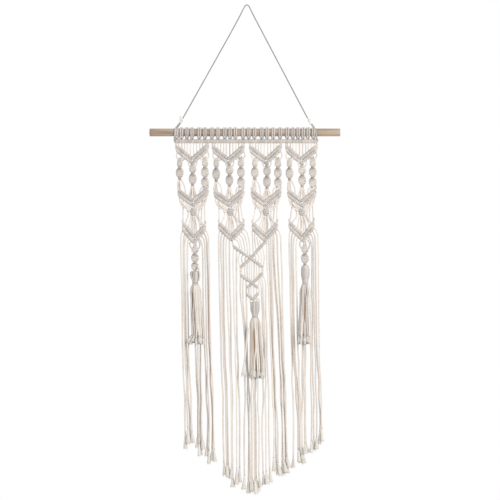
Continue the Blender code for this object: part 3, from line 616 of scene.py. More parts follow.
# The flat braid faces the front at `bulge_z` and makes half a turn in `half_turn`.
Sinnet = namedtuple("Sinnet", "x top_z bottom_z bulge_z half_turn taper")
COLUMN_SINNETS = rows_of(
    Sinnet,
    (-152.6, -345.0, -391.0, -375.8, 23.6, 26.0),
    (-123.3, -357.0, -405.0, -389.7, 25.4, 12.0),
    (-95.6, -342.0, -408.0, -374.6, 23.2, 20.0),
    (-70.4, -345.0, -395.5, -378.5, 27.0, 26.0),
    (-40.5, -357.0, -407.0, -392.6, 24.0, 12.0),
    (-14.6, -342.0, -407.0, -374.6, 23.0, 20.0),
    (16.4, -345.0, -392.0, -375.3, 23.6, 26.0),
    (43.9, -358.0, -411.0, -396.0, 25.9, 12.0),
    (68.6, -343.0, -408.0, -376.2, 22.8, 20.0),
    (94.5, -345.0, -393.0, -376.9, 24.8, 26.0),
    (123.1, -358.0, -407.0, -392.6, 24.0, 12.0),
    (146.9, -342.0, -408.0, -374.6, 23.0, 20.0),
)
TASSEL_SINNETS = rows_of(
    Sinnet,
    (-118.0, -540.0, -596.0, -567.4, 19.5, 12.0),
    (129.3, -538.0, -584.0, -569.0, 22.5, 12.0),
)
TASSEL_GATHERS = (
    ((-9.0, -530.0), (-12.0, -536.5), (-9.8, -543.0), (-3.8, -550.5)),
    ((-3.2, -531.5), (-1.8, -541.0), (-1.1, -551.0)),
    ((1.8, -531.0), (1.6, -541.0), (1.7, -551.0)),
    ((6.4, -526.5), (10.8, -535.5), (9.4, -544.5), (3.8, -552.0)),
)
SINNET_WIDTH = 18.6
SINNET_THICKNESS = 7.0
SINNET_RADIUS = 1.75
HALF_KNOT = 3.45
POINTS_PER_WRAP = 16
BOTTOM_TAPER = 5.0
FILLER_ASIDE = (-1.25, 1.25)
FILLER_PAST_ENDS = 3.0
FILLER_RADIUS = 1.5
TAN_SHARE = 0.14


def knotted_pair(x, top_z, bottom_z, half_width, half_depth, turn, pitch, radius, taper):
    """Two cords that wrap round the same middle, half a wrap apart.

    With a = 2 pi (top - z) / pitch they are at (half_width cos a, half_depth sin a) in a
    frame that `turn(z)` turns about the upright. They draw in over `taper` at the top and
    BOTTOM_TAPER at the bottom, and their cotton is darkened by painted shade where the
    frame is edge on.
    """
    count = int((top_z - bottom_z) / pitch * POINTS_PER_WRAP) + 1
    z = np.linspace(top_z, bottom_z, count)
    ease = np.minimum((top_z - z) / taper, (z - bottom_z) / BOTTOM_TAPER).clip(0.0, 1.0)
    angle = math.tau * (top_z - z) / pitch + np.array((0.0, np.pi))[:, None]
    u = half_width * (0.45 + 0.55 * ease) * np.cos(angle)
    v = half_depth * (0.8 + 0.2 * ease) * np.sin(angle)
    bearing = turn(z)
    across = u * np.cos(bearing) - v * np.sin(bearing)
    back = u * np.sin(bearing) + v * np.cos(bearing)
    outward = unit(np.stack((across, back, np.zeros_like(back)), axis=-1))
    paths = np.stack((x + across, back, np.broadcast_to(z, across.shape)), axis=-1)
    # Painted shade: the tone drops below 0 where the braid turns edge on, darkening its necks.
    tones = chance.uniform(0.25, 0.65, (2, 1)) - 0.85 * np.sin(bearing) ** 4
    return carry_round(paths, radius, outward), tones


def straight_strands(routes, count, radius=CORD_RADIUS, sides=8):
    """Cords along smooth paths through each route's points, each with its own tone. A few
    are tan."""
    paths = np.stack([smooth_path(route, count) for route in routes])
    tones = chance.uniform(0.5, 1.0, (len(paths), 1))
    tones += (chance.random(tones.shape) < TAN_SHARE) * 0.6
    return carry_round(paths, radius, FRONT + (0.0, 0.0, 0.05), sides=sides), tones


sinnet_cords = []
for sinnet in COLUMN_SINNETS + TASSEL_SINNETS:

    def ribbon_turn(z, sinnet=sinnet):
        """The braid's bearing: it lingers where it faces the front and hurries between."""
        even = np.pi * (sinnet.bulge_z - z) / sinnet.half_turn
        return even - 0.27 * np.sin(2.0 * even)

    sinnet_cords.append(knotted_pair(
        sinnet.x, sinnet.top_z, sinnet.bottom_z, SINNET_WIDTH / 2 - SINNET_RADIUS,
        SINNET_THICKNESS / 2 - SINNET_RADIUS, ribbon_turn, 2.0 * HALF_KNOT, SINNET_RADIUS,
        sinnet.taper,
    ))
    ends_z = (sinnet.top_z + FILLER_PAST_ENDS, sinnet.bottom_z - FILLER_PAST_ENDS)
    fillers = [[(sinnet.x + aside, 0.0, z) for z in ends_z] for aside in FILLER_ASIDE]
    sinnet_cords.append(straight_strands(fillers, 8, FILLER_RADIUS))
for sinnet in TASSEL_SINNETS:
    for number, points in enumerate(TASSEL_GATHERS):
        route = [(sinnet.x + x, 0.9 * (-1) ** number, z) for x, z in points]
        sinnet_cords.append((straight_strands([route], 14)[0], 0.25))
fit("spiral_sinnets", sinnet_cords, "macrame", cotton)

# ---------------------------------------------------------------- square knots
# In the middle of each column the inner cords are drawn together and tied with a pair of
# square knots, wide and low, before they spread to the lowest chevron.
SQUARE_KNOTS_X = (-121.9, -39.0, 41.2, 122.2)
SQUARE_KNOT_Z = -464.2
SQUARE_KNOT_WIDTH = 16.5
SQUARE_KNOT_HEIGHT = 15.0
SQUARE_KNOT_DEPTH = 11.0
SQUARE_KNOT_PITCH = 7.4
SQUARE_KNOT_TAPER = 4.0
# Painted shade: this lowers the square knots' tones, to the cool colour and a little into the
# dark shade colour.
SQUARE_KNOT_SHADE_TONE = -0.3

square_knots = []
for knot_x in SQUARE_KNOTS_X:
    top_z = SQUARE_KNOT_Z + SQUARE_KNOT_HEIGHT / 2
    wraps, tones = knotted_pair(
        knot_x, top_z, top_z - SQUARE_KNOT_HEIGHT, SQUARE_KNOT_WIDTH / 2 - CORD_RADIUS,
        SQUARE_KNOT_DEPTH / 2 - CORD_RADIUS, np.zeros_like, SQUARE_KNOT_PITCH, CORD_RADIUS,
        SQUARE_KNOT_TAPER,
    )
    square_knots.append((wraps, tones + SQUARE_KNOT_SHADE_TONE))
fit("square_knots", square_knots, "macrame", cotton)

# ---------------------------------------------------------------- column strands
# Between its knots each column is open: cords run straight, draw together or fan out from
# one row to the next. Their ends are caught inside the hitches.
STRAND_Y = 0.4
HEADER_STRANDS_X = (-30.2, -23.5, -17.0, -10.5, -3.8, 3.8, 10.5, 17.0, 23.5, 30.2)
UPPER_GATHERS = (
    (
        ((-4.5, -328.0), (-7.0, -339.0), (-2.2, -350.0)),
        ((5.5, -331.0), (3.8, -342.0), (-0.6, -351.0)),
        ((10.0, -334.0), (7.6, -343.0), (0.8, -351.0)),
        ((14.0, -338.0), (10.6, -346.0), (2.2, -352.0)),
    ),
    (
        ((-9.6, -345.0), (-8.8, -357.0), (-4.4, -366.0)),
        ((-2.8, -350.0), (-2.2, -359.0), (-1.8, -368.0)),
        ((2.4, -350.0), (1.8, -359.0), (1.4, -368.0)),
        ((9.4, -345.0), (8.8, -357.0), (4.2, -366.0)),
    ),
    (
        ((-12.5, -338.0), (-9.6, -345.0), (-2.0, -350.0)),
        ((-8.5, -334.0), (-6.2, -342.0), (-0.6, -349.5)),
        ((-4.5, -331.0), (-2.8, -341.0), (0.8, -349.0)),
        ((6.5, -328.0), (9.2, -338.0), (2.6, -349.0)),
    ),
)
SINNET_FANS = (
    (
        ((-1.6, -389.0), (-4.2, -402.0), (-3.0, -421.0)),
        ((-0.8, -390.0), (-1.6, -405.0), (0.2, -424.0)),
        ((0.2, -390.0), (2.0, -405.0), (4.2, -427.0)),
        ((1.4, -389.0), (8.8, -402.0), (14.4, -431.0)),
    ),
    (
        ((-2.0, -403.0), (-5.2, -417.0), (-9.4, -433.0)),
        ((-1.2, -403.0), (-3.4, -418.0), (-6.4, -437.0)),
        ((-0.4, -403.0), (-1.4, -419.0), (-3.6, -441.0)),
        ((0.4, -403.0), (1.4, -419.0), (3.4, -441.0)),
        ((1.2, -403.0), (3.4, -418.0), (6.4, -437.0)),
        ((2.0, -403.0), (5.2, -417.0), (9.4, -433.0)),
    ),
    (
        ((-1.8, -404.0), (-8.8, -411.0), (-11.0, -431.0)),
        ((-0.6, -405.0), (-4.4, -413.0), (-5.4, -427.0)),
        ((0.8, -405.0), (1.4, -413.0), (0.0, -423.0)),
        ((2.0, -403.0), (5.4, -410.0), (3.6, -420.0)),
    ),
)
TIP_STRANDS = (
    ((-3.4, -446.0), (-2.4, -453.0), (-1.4, -462.0)),
    ((3.4, -446.0), (2.4, -453.0), (1.6, -462.0)),
)
GATHERED_STRANDS = ((0.06, 23.6, 5.4), (0.25, 18.8, 3.2), (0.45, 14.2, 1.2))
SPREAD_STRANDS = (
    ((-5.8, -468.0), (-6.6, -479.0), (-9.6, -487.0), -13.4),
    ((-4.6, -470.0), (-3.6, -479.0), (-5.2, -488.0), -8.2),
    ((-2.4, -471.0), (-0.4, -483.0), (-1.8, -496.0), -3.2),
    ((-1.0, -471.0), (2.2, -485.0), (1.6, -500.0), 0.4),
    ((1.6, -471.0), (5.0, -485.0), (5.4, -500.0), 4.6),
    ((4.6, -470.0), (9.6, -481.0), (12.6, -492.0), 13.6),
    ((6.0, -468.0), (12.6, -480.0), (17.0, -489.0), 19.0),
)
TAUT_RADIUS = 1.5
STRAND_BOW = 0.6
STRAND_SWAY = 0.7
STRAND_DEPTHS = (-0.9, 1.1)
FLOATS = ((-1, 9.0, 0.6), (1, 6.5, 0.6), (1, 12.0, -8.0))
FLOAT_MIDDLE_Z = -465.0


def column_strands(upper, middle, lower, knot_x, sinnets):
    """Every open cord of one column, as a route of (x, y, z) points.

    Their tables give x from the middle of the sinnet, chevron or square knot they meet,
    and z. Cords that cross pass one behind the other, and each bends a little in its own
    way: at share s of its way it is moved aside by sway sin(pi s).
    """
    routes = []
    for offset in HEADER_STRANDS_X:
        x, _, z = arm_at(upper, upper.tip[0] + offset)
        bow = chance.uniform(-STRAND_BOW, STRAND_BOW)
        routes.append([(x, 0.0, HEADER_Z), (x + bow, 0.2, (HEADER_Z + z) / 2), (x, STRAND_Y, z)])
    bent = []
    for sinnet, gather, fan in zip(sinnets, UPPER_GATHERS, SINNET_FANS):
        bent += [[(sinnet.x + x, z) for x, z in points] for points in gather]
        fall = sinnet.bottom_z + 2.0 - fan[0][0][1]
        bent += [
            [(sinnet.x + x, z + fall * (1.0 - k / 2)) for k, (x, z) in enumerate(points)]
            for points in fan
        ]
    for (top_x, top_z), *rest in TIP_STRANDS:
        bent.append([(middle.tip[0] + top_x, top_z)] + [(knot_x + x, z) for x, z in rest])
    for *points, last_x in SPREAD_STRANDS:
        lean = (lower.tip[0] - knot_x) / 3.0
        route = [(knot_x + x + lean * k, z) for k, (x, z) in enumerate(points)]
        bent.append(route + [arm_at(lower, lower.tip[0] + last_x)[::2]])
    for side in (-1, 1):
        start_x, _, start_z = arm_point(middle, side, 0.0)
        end_x = arm_point(lower, side, 0.0)[0]
        bent.append([
            (start_x - side * 1.0, start_z - 15.0), (start_x - side * 9.5, -449.6),
            (knot_x + side * 14.4, -460.4), (knot_x + side * 11.6, -468.6),
            (knot_x + side * 13.8, -478.0), (end_x - side * 5.0, -487.5), (end_x, -498.0),
        ])
    for number, points in enumerate(bent):
        bulge = np.sin(np.linspace(0.0, np.pi, len(points)))
        sway = chance.uniform(-STRAND_SWAY, STRAND_SWAY)
        depth = STRAND_DEPTHS[number % 2]
        routes.append([(x + sway * b, depth * b, z) for (x, z), b in zip(points, bulge)])
    for side in (-1, 1):
        for place, offset, end in GATHERED_STRANDS:
            x, _, z = arm_point(middle, side, place)
            slope = [
                (at, -0.8, arm_at(middle, at)[2] - offset)
                for at in np.linspace(x - side * 4.5, knot_x + side * (end + 2.5), 3)
            ]
            routes.append(
                [(x, STRAND_Y, z), (x + side * 0.4, -0.4, z - offset * 0.62)] + slope
                + [(knot_x + side * end, -0.5, SQUARE_KNOT_Z + 3.0)]
            )
    for side, top_inset, outset in FLOATS:
        top_x, _, top_z = arm_point(middle, side, 0.0)
        end_x, _, end_z = arm_point(lower, side, 0.0)
        top_x -= side * top_inset
        end_x += side * outset
        routes.append([
            (top_x, 1.6, top_z - 14.0), (top_x * 0.55 + end_x * 0.45, 3.4, FLOAT_MIDDLE_Z),
            (end_x, 1.0, end_z + 5.0),
        ])
    return routes


sinnets_by_column = [COLUMN_SINNETS[first:first + 3] for first in (0, 3, 6, 9)]
columns = zip(
    UPPER_CHEVRONS, MIDDLE_CHEVRONS, LOWER_CHEVRONS, SQUARE_KNOTS_X, sinnets_by_column
)
open_routes = [route for column in columns for route in column_strands(*column)]
open_strands = [straight_strands(open_routes, 12, TAUT_RADIUS)]
fit("column_strands", open_strands, "macrame", cotton)

# ---------------------------------------------------------------- centre cross
# Below the two middle columns single rows of hitches cross, part round a diamond, cross
# again and close to a small eye over the middle tassel. Loose cords lie between them.
BARS = (
    ((-31.7, -541.5), (-16.9, -552.4), (7.9, -568.8), (34.4, -588.8)),
    ((41.6, -530.5), (30.0, -542.5), (7.9, -567.7), (-16.2, -589.5)),
    ((-15.8, -606.0), (-2.3, -615.4), (10.1, -624.4), (23.2, -634.5)),
    ((34.4, -601.5), (22.5, -614.3), (10.1, -624.8), (0.7, -634.5)),
    ((0.7, -650.3), (5.6, -655.9), (11.2, -661.0)),
    ((24.8, -647.6), (18.0, -654.8), (11.8, -661.5)),
)
BAR_LEADS = {0: ((-35.0, 0.0, -524.0), (-34.0, 0.0, -531.5), (-32.6, 0.0, -537.5))}
SINGLE_BAR = 7.8
LINK_RADIUS = 1.5
LINKS = (
    ((-9.0, -502.9), (-2.9, -507.4), (1.6, -518.6), (4.3, -534.4), (5.6, -563.6)),
    ((-14.2, -508.7), (-7.9, -515.2), (-3.4, -527.6), (-0.4, -543.4), (0.2, -558.0)),
    ((-19.1, -514.6), (-12.4, -521.3), (-8.6, -531.7), (-5.2, -552.4)),
    ((-23.6, -520.0), (-16.9, -527.6), (-13.5, -538.9), (-11.9, -549.7)),
    ((-28.6, -525.4), (-22.3, -529.9), (-18.4, -538.9), (-17.8, -545.6)),
    ((10.8, -507.4), (11.5, -527.6), (13.3, -560.2)),
    ((16.0, -514.1), (16.4, -529.9), (20.2, -553.5)),
    ((21.4, -520.9), (22.7, -532.1), (26.8, -546.8)),
    ((27.2, -527.6), (29.0, -534.4), (32.2, -542.2)),
    ((-15.5, -553.3), (-20.0, -569.2), (-16.0, -588.4)),
    ((-8.8, -557.8), (-13.3, -570.4), (-9.9, -583.4)),
    ((-2.0, -562.3), (-5.4, -571.3), (-3.2, -577.6)),
    ((33.5, -542.5), (38.2, -565.9), (35.6, -587.9)),
    ((27.7, -548.6), (32.2, -567.0), (29.7, -584.3)),
    ((21.8, -555.1), (25.9, -568.1), (23.9, -579.8)),
    ((16.2, -560.9), (19.4, -569.0), (17.8, -574.9)),
    ((-12.8, -588.6), (-13.7, -597.5), (-12.9, -607.4)),
    ((-15.4, -590.4), (-16.6, -597.6), (-15.5, -605.0)),
    ((-3.8, -579.8), (-6.5, -596.2), (-3.4, -614.0)),
    ((1.1, -574.9), (-0.9, -596.2), (1.6, -617.6)),
    ((5.8, -571.3), (4.5, -596.2), (5.8, -620.8)),
    ((9.9, -570.4), (9.7, -596.2), (9.9, -622.1)),
    ((14.6, -574.0), (15.3, -596.2), (14.4, -620.3)),
    ((19.6, -577.6), (21.1, -596.2), (19.4, -616.3)),
    ((24.8, -582.1), (26.8, -596.2), (24.5, -611.3)),
    ((30.8, -586.1), (32.2, -595.1), (31.2, -604.4)),
    ((33.4, -588.6), (35.0, -595.1), (33.6, -601.6)),
    ((0.0, -617.6), (-2.9, -624.4), (0.9, -632.9)),
    ((21.8, -616.7), (26.3, -624.4), (23.2, -633.4)),
    ((1.1, -632.5), (-1.3, -641.2), (0.7, -652.3)),
    ((4.5, -631.1), (3.2, -642.4), (4.7, -655.4)),
    ((8.3, -627.8), (8.8, -642.4), (8.3, -658.6)),
    ((14.6, -628.9), (14.2, -642.4), (14.2, -657.2)),
    ((19.8, -632.0), (20.5, -642.4), (19.1, -654.5)),
    ((23.4, -633.4), (26.2, -640.6), (24.8, -649.6)),
    ((10.6, -660.4), (6.5, -663.5), (8.3, -672.8)),
    ((12.8, -661.3), (13.5, -667.1), (14.2, -672.8)),
    ((15.1, -659.0), (21.4, -663.1), (21.1, -672.8)),
    ((17.3, -656.8), (26.3, -662.2), (25.9, -673.9)),
)
cross_cords = []
for number, bar in enumerate(BARS):
    near = 1.0 if number % 2 else -1.0
    core = [(x, near if 0 < k < len(bar) - 1 else 0.0, z) for k, (x, z) in enumerate(bar)]
    lead = BAR_LEADS.get(number, ())
    cross_cords += wound(core, SINGLE_BAR, start=1.0, hand=near, lead=lead)
link_routes = []
for number, points in enumerate(LINKS):
    share = np.linspace(0.0, np.pi, len(points))
    depth = STRAND_Y + 0.8 * (-1) ** number * np.sin(share)
    link_routes.append([(x, y, z) for (x, z), y in zip(points, depth)])
cross_cords.append(straight_strands(link_routes, 14, LINK_RADIUS))
fit("centre_cross", cross_cords, "macrame", cotton)

# ---------------------------------------------------------------- tassels
# A bundle of cut cords is folded over the panel's cords and wrapped tight below the fold,
# which leaves a round head and a full skirt. The skirt's ends are left to fray.

# Places across the front of a skirt run from -1 at its left edge to 1 at its right. They
# are its `tan_locks`, and its `parting` at the neck and at the hem.
Tassel = namedtuple(
    "Tassel",
    "name x head_radius head_top_z tie_z hem_z hem_x hem_half_width hem_half_depth forward"
    " strands parting tan_locks swing paleness",
)
TASSELS = (
    Tassel(
        "tassel_left", -117.5, 9.2, -597.5, -625.5, -758.0, -111.5, 15.8, 10.0, 9.0, 22,
        (-0.85, -0.15), (-0.3, 0.2, 0.75), -14.0, 0.15,
    ),
    Tassel(
        "tassel_center", 17.0, 10.7, -666.0, -699.8, -835.0, 21.5, 18.5, 11.0, 11.0, 24,
        (-0.45, -0.12), (-0.95, -0.65, -0.35, 0.6), 0.0, 0.58,
    ),
    Tassel(
        "tassel_right", 130.0, 9.6, -584.0, -626.0, -758.0, 127.8, 15.6, 10.0, 9.0, 20,
        (0.1, -0.3), (-0.5, 0.7), 0.0, 0.25,
    ),
)
TAILS = {
    "tassel_left": (
        ((-121.6, -9.0, -597.4), (-126.8, -8.4, -600.4), (-125.4, -8.8, -612.0),
         (-121.4, -8.6, -621.0)),
        ((-111.6, -8.0, -585.5), (-108.8, -8.6, -596.5), (-107.6, -8.0, -610.0),
         (-109.6, -7.4, -619.0)),
    ),
    "tassel_center": (
        ((1.0, -5.0, -725.0), (-2.4, -8.0, -763.0), (-4.6, -9.0, -782.0), (-6.6, -9.0, -800.0)),
    ),
}
TAIL_TONES = {"tassel_left": ((-0.15,), (1.3,)), "tassel_center": ((0.6,),)}
TAIL_RADIUS = 1.9
HEAD_PROFILE = (
    (-0.04, 0.3), (0.0, 0.55), (0.06, 0.8), (0.12, 0.93), (0.4, 1.0), (0.62, 0.95),
    (0.8, 0.76), (1.0, 0.6),
)
TIE_DIAMETER = 2.8
TIE_REACH = 5.6
TIE_WRAPS = 4.0
SHOULDER_RADIUS = 9.8
SKIRT_POINTS = 26
SKIRT_ROOT_DROP = 2.7
SKIRT_ROOT_RADIUS = 6.0
SKIRT_FRAY = 14.0
SKIRT_SHARES = (0.07, 0.3, 0.6, 0.85, 1.0)
HEM_WAVE = 3.0
PARTING_REACH = 0.3

# A layer has a share of the strands and a size. Its first strand lags by part of a step,
# its parting has a gap, and its brown locks have a reach and a depth: tan on the outer
# layer, painted shadow at the parting on the inner one.
Layer = namedtuple("Layer", "share size lag gap reach depth")
OUTER = Layer(1.0, 1.0, 0.5, 2.4, 0.14, 1.0)
# The inner layer's brown near the parting is painted shadow, seen down the gap between the outer
# cords.
INNER = Layer(0.7, 0.72, 0.2, 0.0, 0.4, 1.6)
TUFT_LENGTH = 15.0
TUFT_WIDTH = 6.0
LOOSE_TUFT_FALL = (-2.4, 0.0, -33.0)
LOOSE_TUFT_WIDTH = 12.0
WEDGE_END = 0.95
HAIR_RADIUS = 0.26
HAIR_POINTS = 5


def about_axis(x, radius, angle, z):
    """Points round an upright line at x: (x + radius cos a, radius sin a, z)."""
    rows = (x + radius * np.cos(angle), radius * np.sin(angle), z)
    return np.stack(np.broadcast_arrays(*rows), axis=-1)


def tassel_head(tassel):
    """Folded cords side by side round the head: each follows the profile at its angle. At
    the fold, where they are nearest to the axis, they lie a cord's radius lower."""
    height = tassel.head_top_z - tassel.tie_z
    count = round(math.tau * (tassel.head_radius - CORD_RADIUS) / CORD_DIAMETER) + 1
    down, size = np.array(HEAD_PROFILE).T
    radius = np.maximum(tassel.head_radius * size - CORD_RADIUS, 1.0)
    z = tassel.head_top_z - height * down - CORD_RADIUS * (size < 0.7) * (down < 0.1)
    profile = smooth_path(np.stack((radius, np.zeros_like(radius), z), axis=-1), 26)
    angle = math.tau * (np.arange(count) + 0.3) / count
    angle = angle[:, None] + 0.03 * chance.standard_normal((count, 1))
    paths = about_axis(tassel.x, profile[:, 0], angle, profile[:, 2])
    cords = carry_round(paths, CORD_RADIUS, about_axis(0.0, 1.0, angle, 0.0))
    return cords, chance.uniform(-0.2, 0.7, (count, 1))


def tassel_tie(tassel):
    """A thin cord wound round the neck, each wrap close below the last."""
    turned = np.linspace(0.0, TIE_WRAPS, 97)
    angle = math.tau * turned
    z = tassel.tie_z + (TIE_WRAPS / 2 - turned) * TIE_DIAMETER * 0.92
    path = about_axis(tassel.x, TIE_REACH, angle, z)
    outward = about_axis(0.0, 1.0, angle, 0.0)
    return carry_round(path[None], TIE_DIAMETER / 2, outward), 0.0


def skirt_bearing(tassel, layer):
    """Even steps round the tassel, bunched by 0.12 sin(4 a + x) into four loose locks."""
    strands = round(tassel.strands * layer.share)
    angle = math.tau * (np.arange(strands) + layer.lag) / strands
    return angle + 0.12 * np.sin(4.0 * angle + tassel.x)


def skirt_tones(tassel, layer, locks):
    """Each cord's tone is the tassel's paleness and one of its own. A front cord is browned
    by depth exp(-(d / reach)^2), at d half widths from the nearest lock: tan on the outer
    layer, and painted shadow down the parting on the inner layer."""
    angle = skirt_bearing(tassel, layer)
    aside = np.cos(angle)[:, None] - np.array(locks)
    near = np.exp(-((aside / layer.reach) ** 2)).max(axis=1) * (np.sin(angle) < 0.0)
    own = chance.uniform(-0.35, 0.35, len(angle))
    return (tassel.paleness + own + layer.depth * near)[:, None]


def skirt_routes(tassel, layer):
    """Skirt cords spread from the neck to an oval hem. In front they part at one place,
    by gap exp(-(d / PARTING_REACH)^2) at d half widths from it."""
    angle = skirt_bearing(tassel, layer)
    right = np.cos(angle)
    back = np.sin(angle)
    shoulder = SHOULDER_RADIUS * layer.size
    hem = np.array((tassel.hem_half_width, tassel.hem_half_depth)) - CORD_RADIUS
    root_z = tassel.tie_z - SKIRT_ROOT_DROP
    hem_z = tassel.hem_z + SKIRT_FRAY + HEM_WAVE * np.sin(3.7 * np.arange(len(angle)))
    rows = [about_axis(tassel.x, SKIRT_ROOT_RADIUS * layer.size, angle, root_z)]
    for share in SKIRT_SHARES:
        spread = share ** 0.8
        reach = shoulder * (1.0 - spread) + hem * layer.size * spread
        width, depth = reach - CORD_RADIUS * 0.5
        drift = chance.normal(0.0, 0.7, len(angle)) * share
        aside = right - np.interp(share, (0.0, 1.0), tassel.parting)
        near = np.exp(-((aside / PARTING_REACH) ** 2)) * (back < 0.0)
        parted = layer.gap * np.sign(aside) * near
        rows.append(np.stack((
            tassel.x + (tassel.hem_x - tassel.x) * share + width * right + drift
            + parted * min(1.0, 4.0 * share),
            depth * back - tassel.forward * spread,
            root_z + (hem_z - root_z) * share,
        ), axis=-1))
    return np.stack(rows, axis=1)


def frayed_ends(tips, cuts, width, hairs=20, tone=0.5):
    """The untwisted end of each cord: a wedge of fibres from its tip almost to its cut,
    both given as (x, y, z), with loose hairs round it.

    At share s of the way the wedge's radius is the cord's plus s^0.9 of what it gains. A
    hair starts in the wedge, ends near the cut at its own share of that radius, and curls.
    """
    tips = np.asarray(tips, dtype=float)
    fall = np.asarray(cuts, dtype=float) - tips
    count = len(tips)
    share = np.linspace(0.0, 1.0, 7)
    gain = width * chance.uniform(0.85, 1.2, (count, 1, 1)) / 2 - CORD_RADIUS
    flare = CORD_RADIUS + gain[..., 0] * share ** 0.9
    middle = tips[:, None] + fall[:, None] * np.minimum(share, WEDGE_END)[:, None]
    brush = carry_round(middle, flare * 0.9, FRONT + (0.0, 0.0, 0.02), sides=12, flat=0.6)
    bearing = chance.uniform(0.0, math.tau, (count, hairs, 1, 1))
    part = np.sqrt(chance.uniform(0.3, 1.0, (count, hairs, 1, 1)))
    lean = np.concatenate((np.cos(bearing), 0.6 * np.sin(bearing), 0.0 * bearing), axis=-1)
    begin = chance.uniform(0.2, 0.85, (count, hairs, 1))
    end = chance.uniform(0.85, 1.12, (count, hairs, 1))
    along = np.linspace(0.0, 1.0, HAIR_POINTS)
    rows = begin + (end - begin) * along
    curl = chance.normal(0.0, 0.3, (count, hairs, 1, 3)) * (1.0, 1.0, 0.2)
    radius = CORD_RADIUS + gain * rows ** 0.9
    hair = tips[:, None, None] + fall[:, None, None] * rows[..., None]
    hair = hair + lean * part * radius[..., None]
    hair = hair + curl * np.sin(3.0 * along)[:, None]
    fine = HAIR_RADIUS * np.linspace(1.0, 0.6, HAIR_POINTS)
    loose = carry_round(hair.reshape(-1, HAIR_POINTS, 3), fine, FRONT, sides=3)
    tones = tone + chance.uniform(-0.25, 0.35, (count, 1))
    return [(brush, tones), (loose, np.repeat(tones, hairs, axis=0))]


def fluffy_cotton():
    """Untwisted fibres: soft and matt, with fine streaks drawn out along the brush."""
    material, paint = new_material("frayed_cotton", {"Roughness": 1.0, "Sheen Weight": 0.3})
    streak = paint.node("TexCoord", output=3).stretched(1.0, 1.0, 0.06).noise(1100.0, 2.0)
    tone = paint.node("Attribute", {"attribute_name": "tone"}, output=2)
    warmth = (streak * 0.5 + tone * 0.6).calc("MINIMUM", 1.0)
    color = warmth.mix((0.43, 0.412, 0.378, 1.0), (0.63, 0.587, 0.532, 1.0))
    finish_surface(material, color, streak, 0.12)
    return material


frayed = fluffy_cotton()
for tassel in TASSELS:
    skirt = [skirt_routes(tassel, layer) for layer in (OUTER, INNER)]
    locks = ((OUTER, tassel.tan_locks), (INNER, tassel.parting))
    tones = [skirt_tones(tassel, *layer) for layer in locks]
    inside = [[(tassel.x, 0.0, tassel.head_top_z - 4.0), (tassel.x, 0.0, tassel.tie_z - 8.0)]]
    filling = carry_round(inside, tassel.head_radius * 0.55, FRONT)
    bundles = [tassel_head(tassel), tassel_tie(tassel), (filling, 0.2)]
    for routes, tone in zip(skirt, tones):
        bundles.append((straight_strands(routes, SKIRT_POINTS)[0], tone))
    tips = np.concatenate([routes[:, -1] for routes in skirt])
    cuts = tips + (0.0, 0.0, -TUFT_LENGTH)
    # Towards the left edge of the hem the tufts lean aside, by up to the tassel's swing.
    aside = (tips[:, 0] - tassel.hem_x) / tassel.hem_half_width
    cuts[:, 0] += tassel.swing * np.clip(-1.6 * aside - 0.5, 0.0, 1.0)
    tails = [smooth_path(route, SKIRT_POINTS) for route in TAILS.get(tassel.name, ())]
    if tails:
        bundles.append((carry_round(tails, TAIL_RADIUS, FRONT), TAIL_TONES[tassel.name]))
    fit(tassel.name + "_cords", bundles, tassel.name, cotton)
    ends = frayed_ends(tips, cuts, TUFT_WIDTH, 12, 0.1)
    if tassel.name == "tassel_center":
        loose_tip = tails[0][-1:]
        ends += frayed_ends(loose_tip, loose_tip + LOOSE_TUFT_FALL, LOOSE_TUFT_WIDTH, 30)
    fit(tassel.name + "_tufts", ends, tassel.name, frayed)

# ---------------------------------------------------------------- fringe
# The panel's own cords hang free below the last row and the cross, in loose groups, and
# those of the tassels' cores come out below the skirts. All are cut and frayed at the hem.

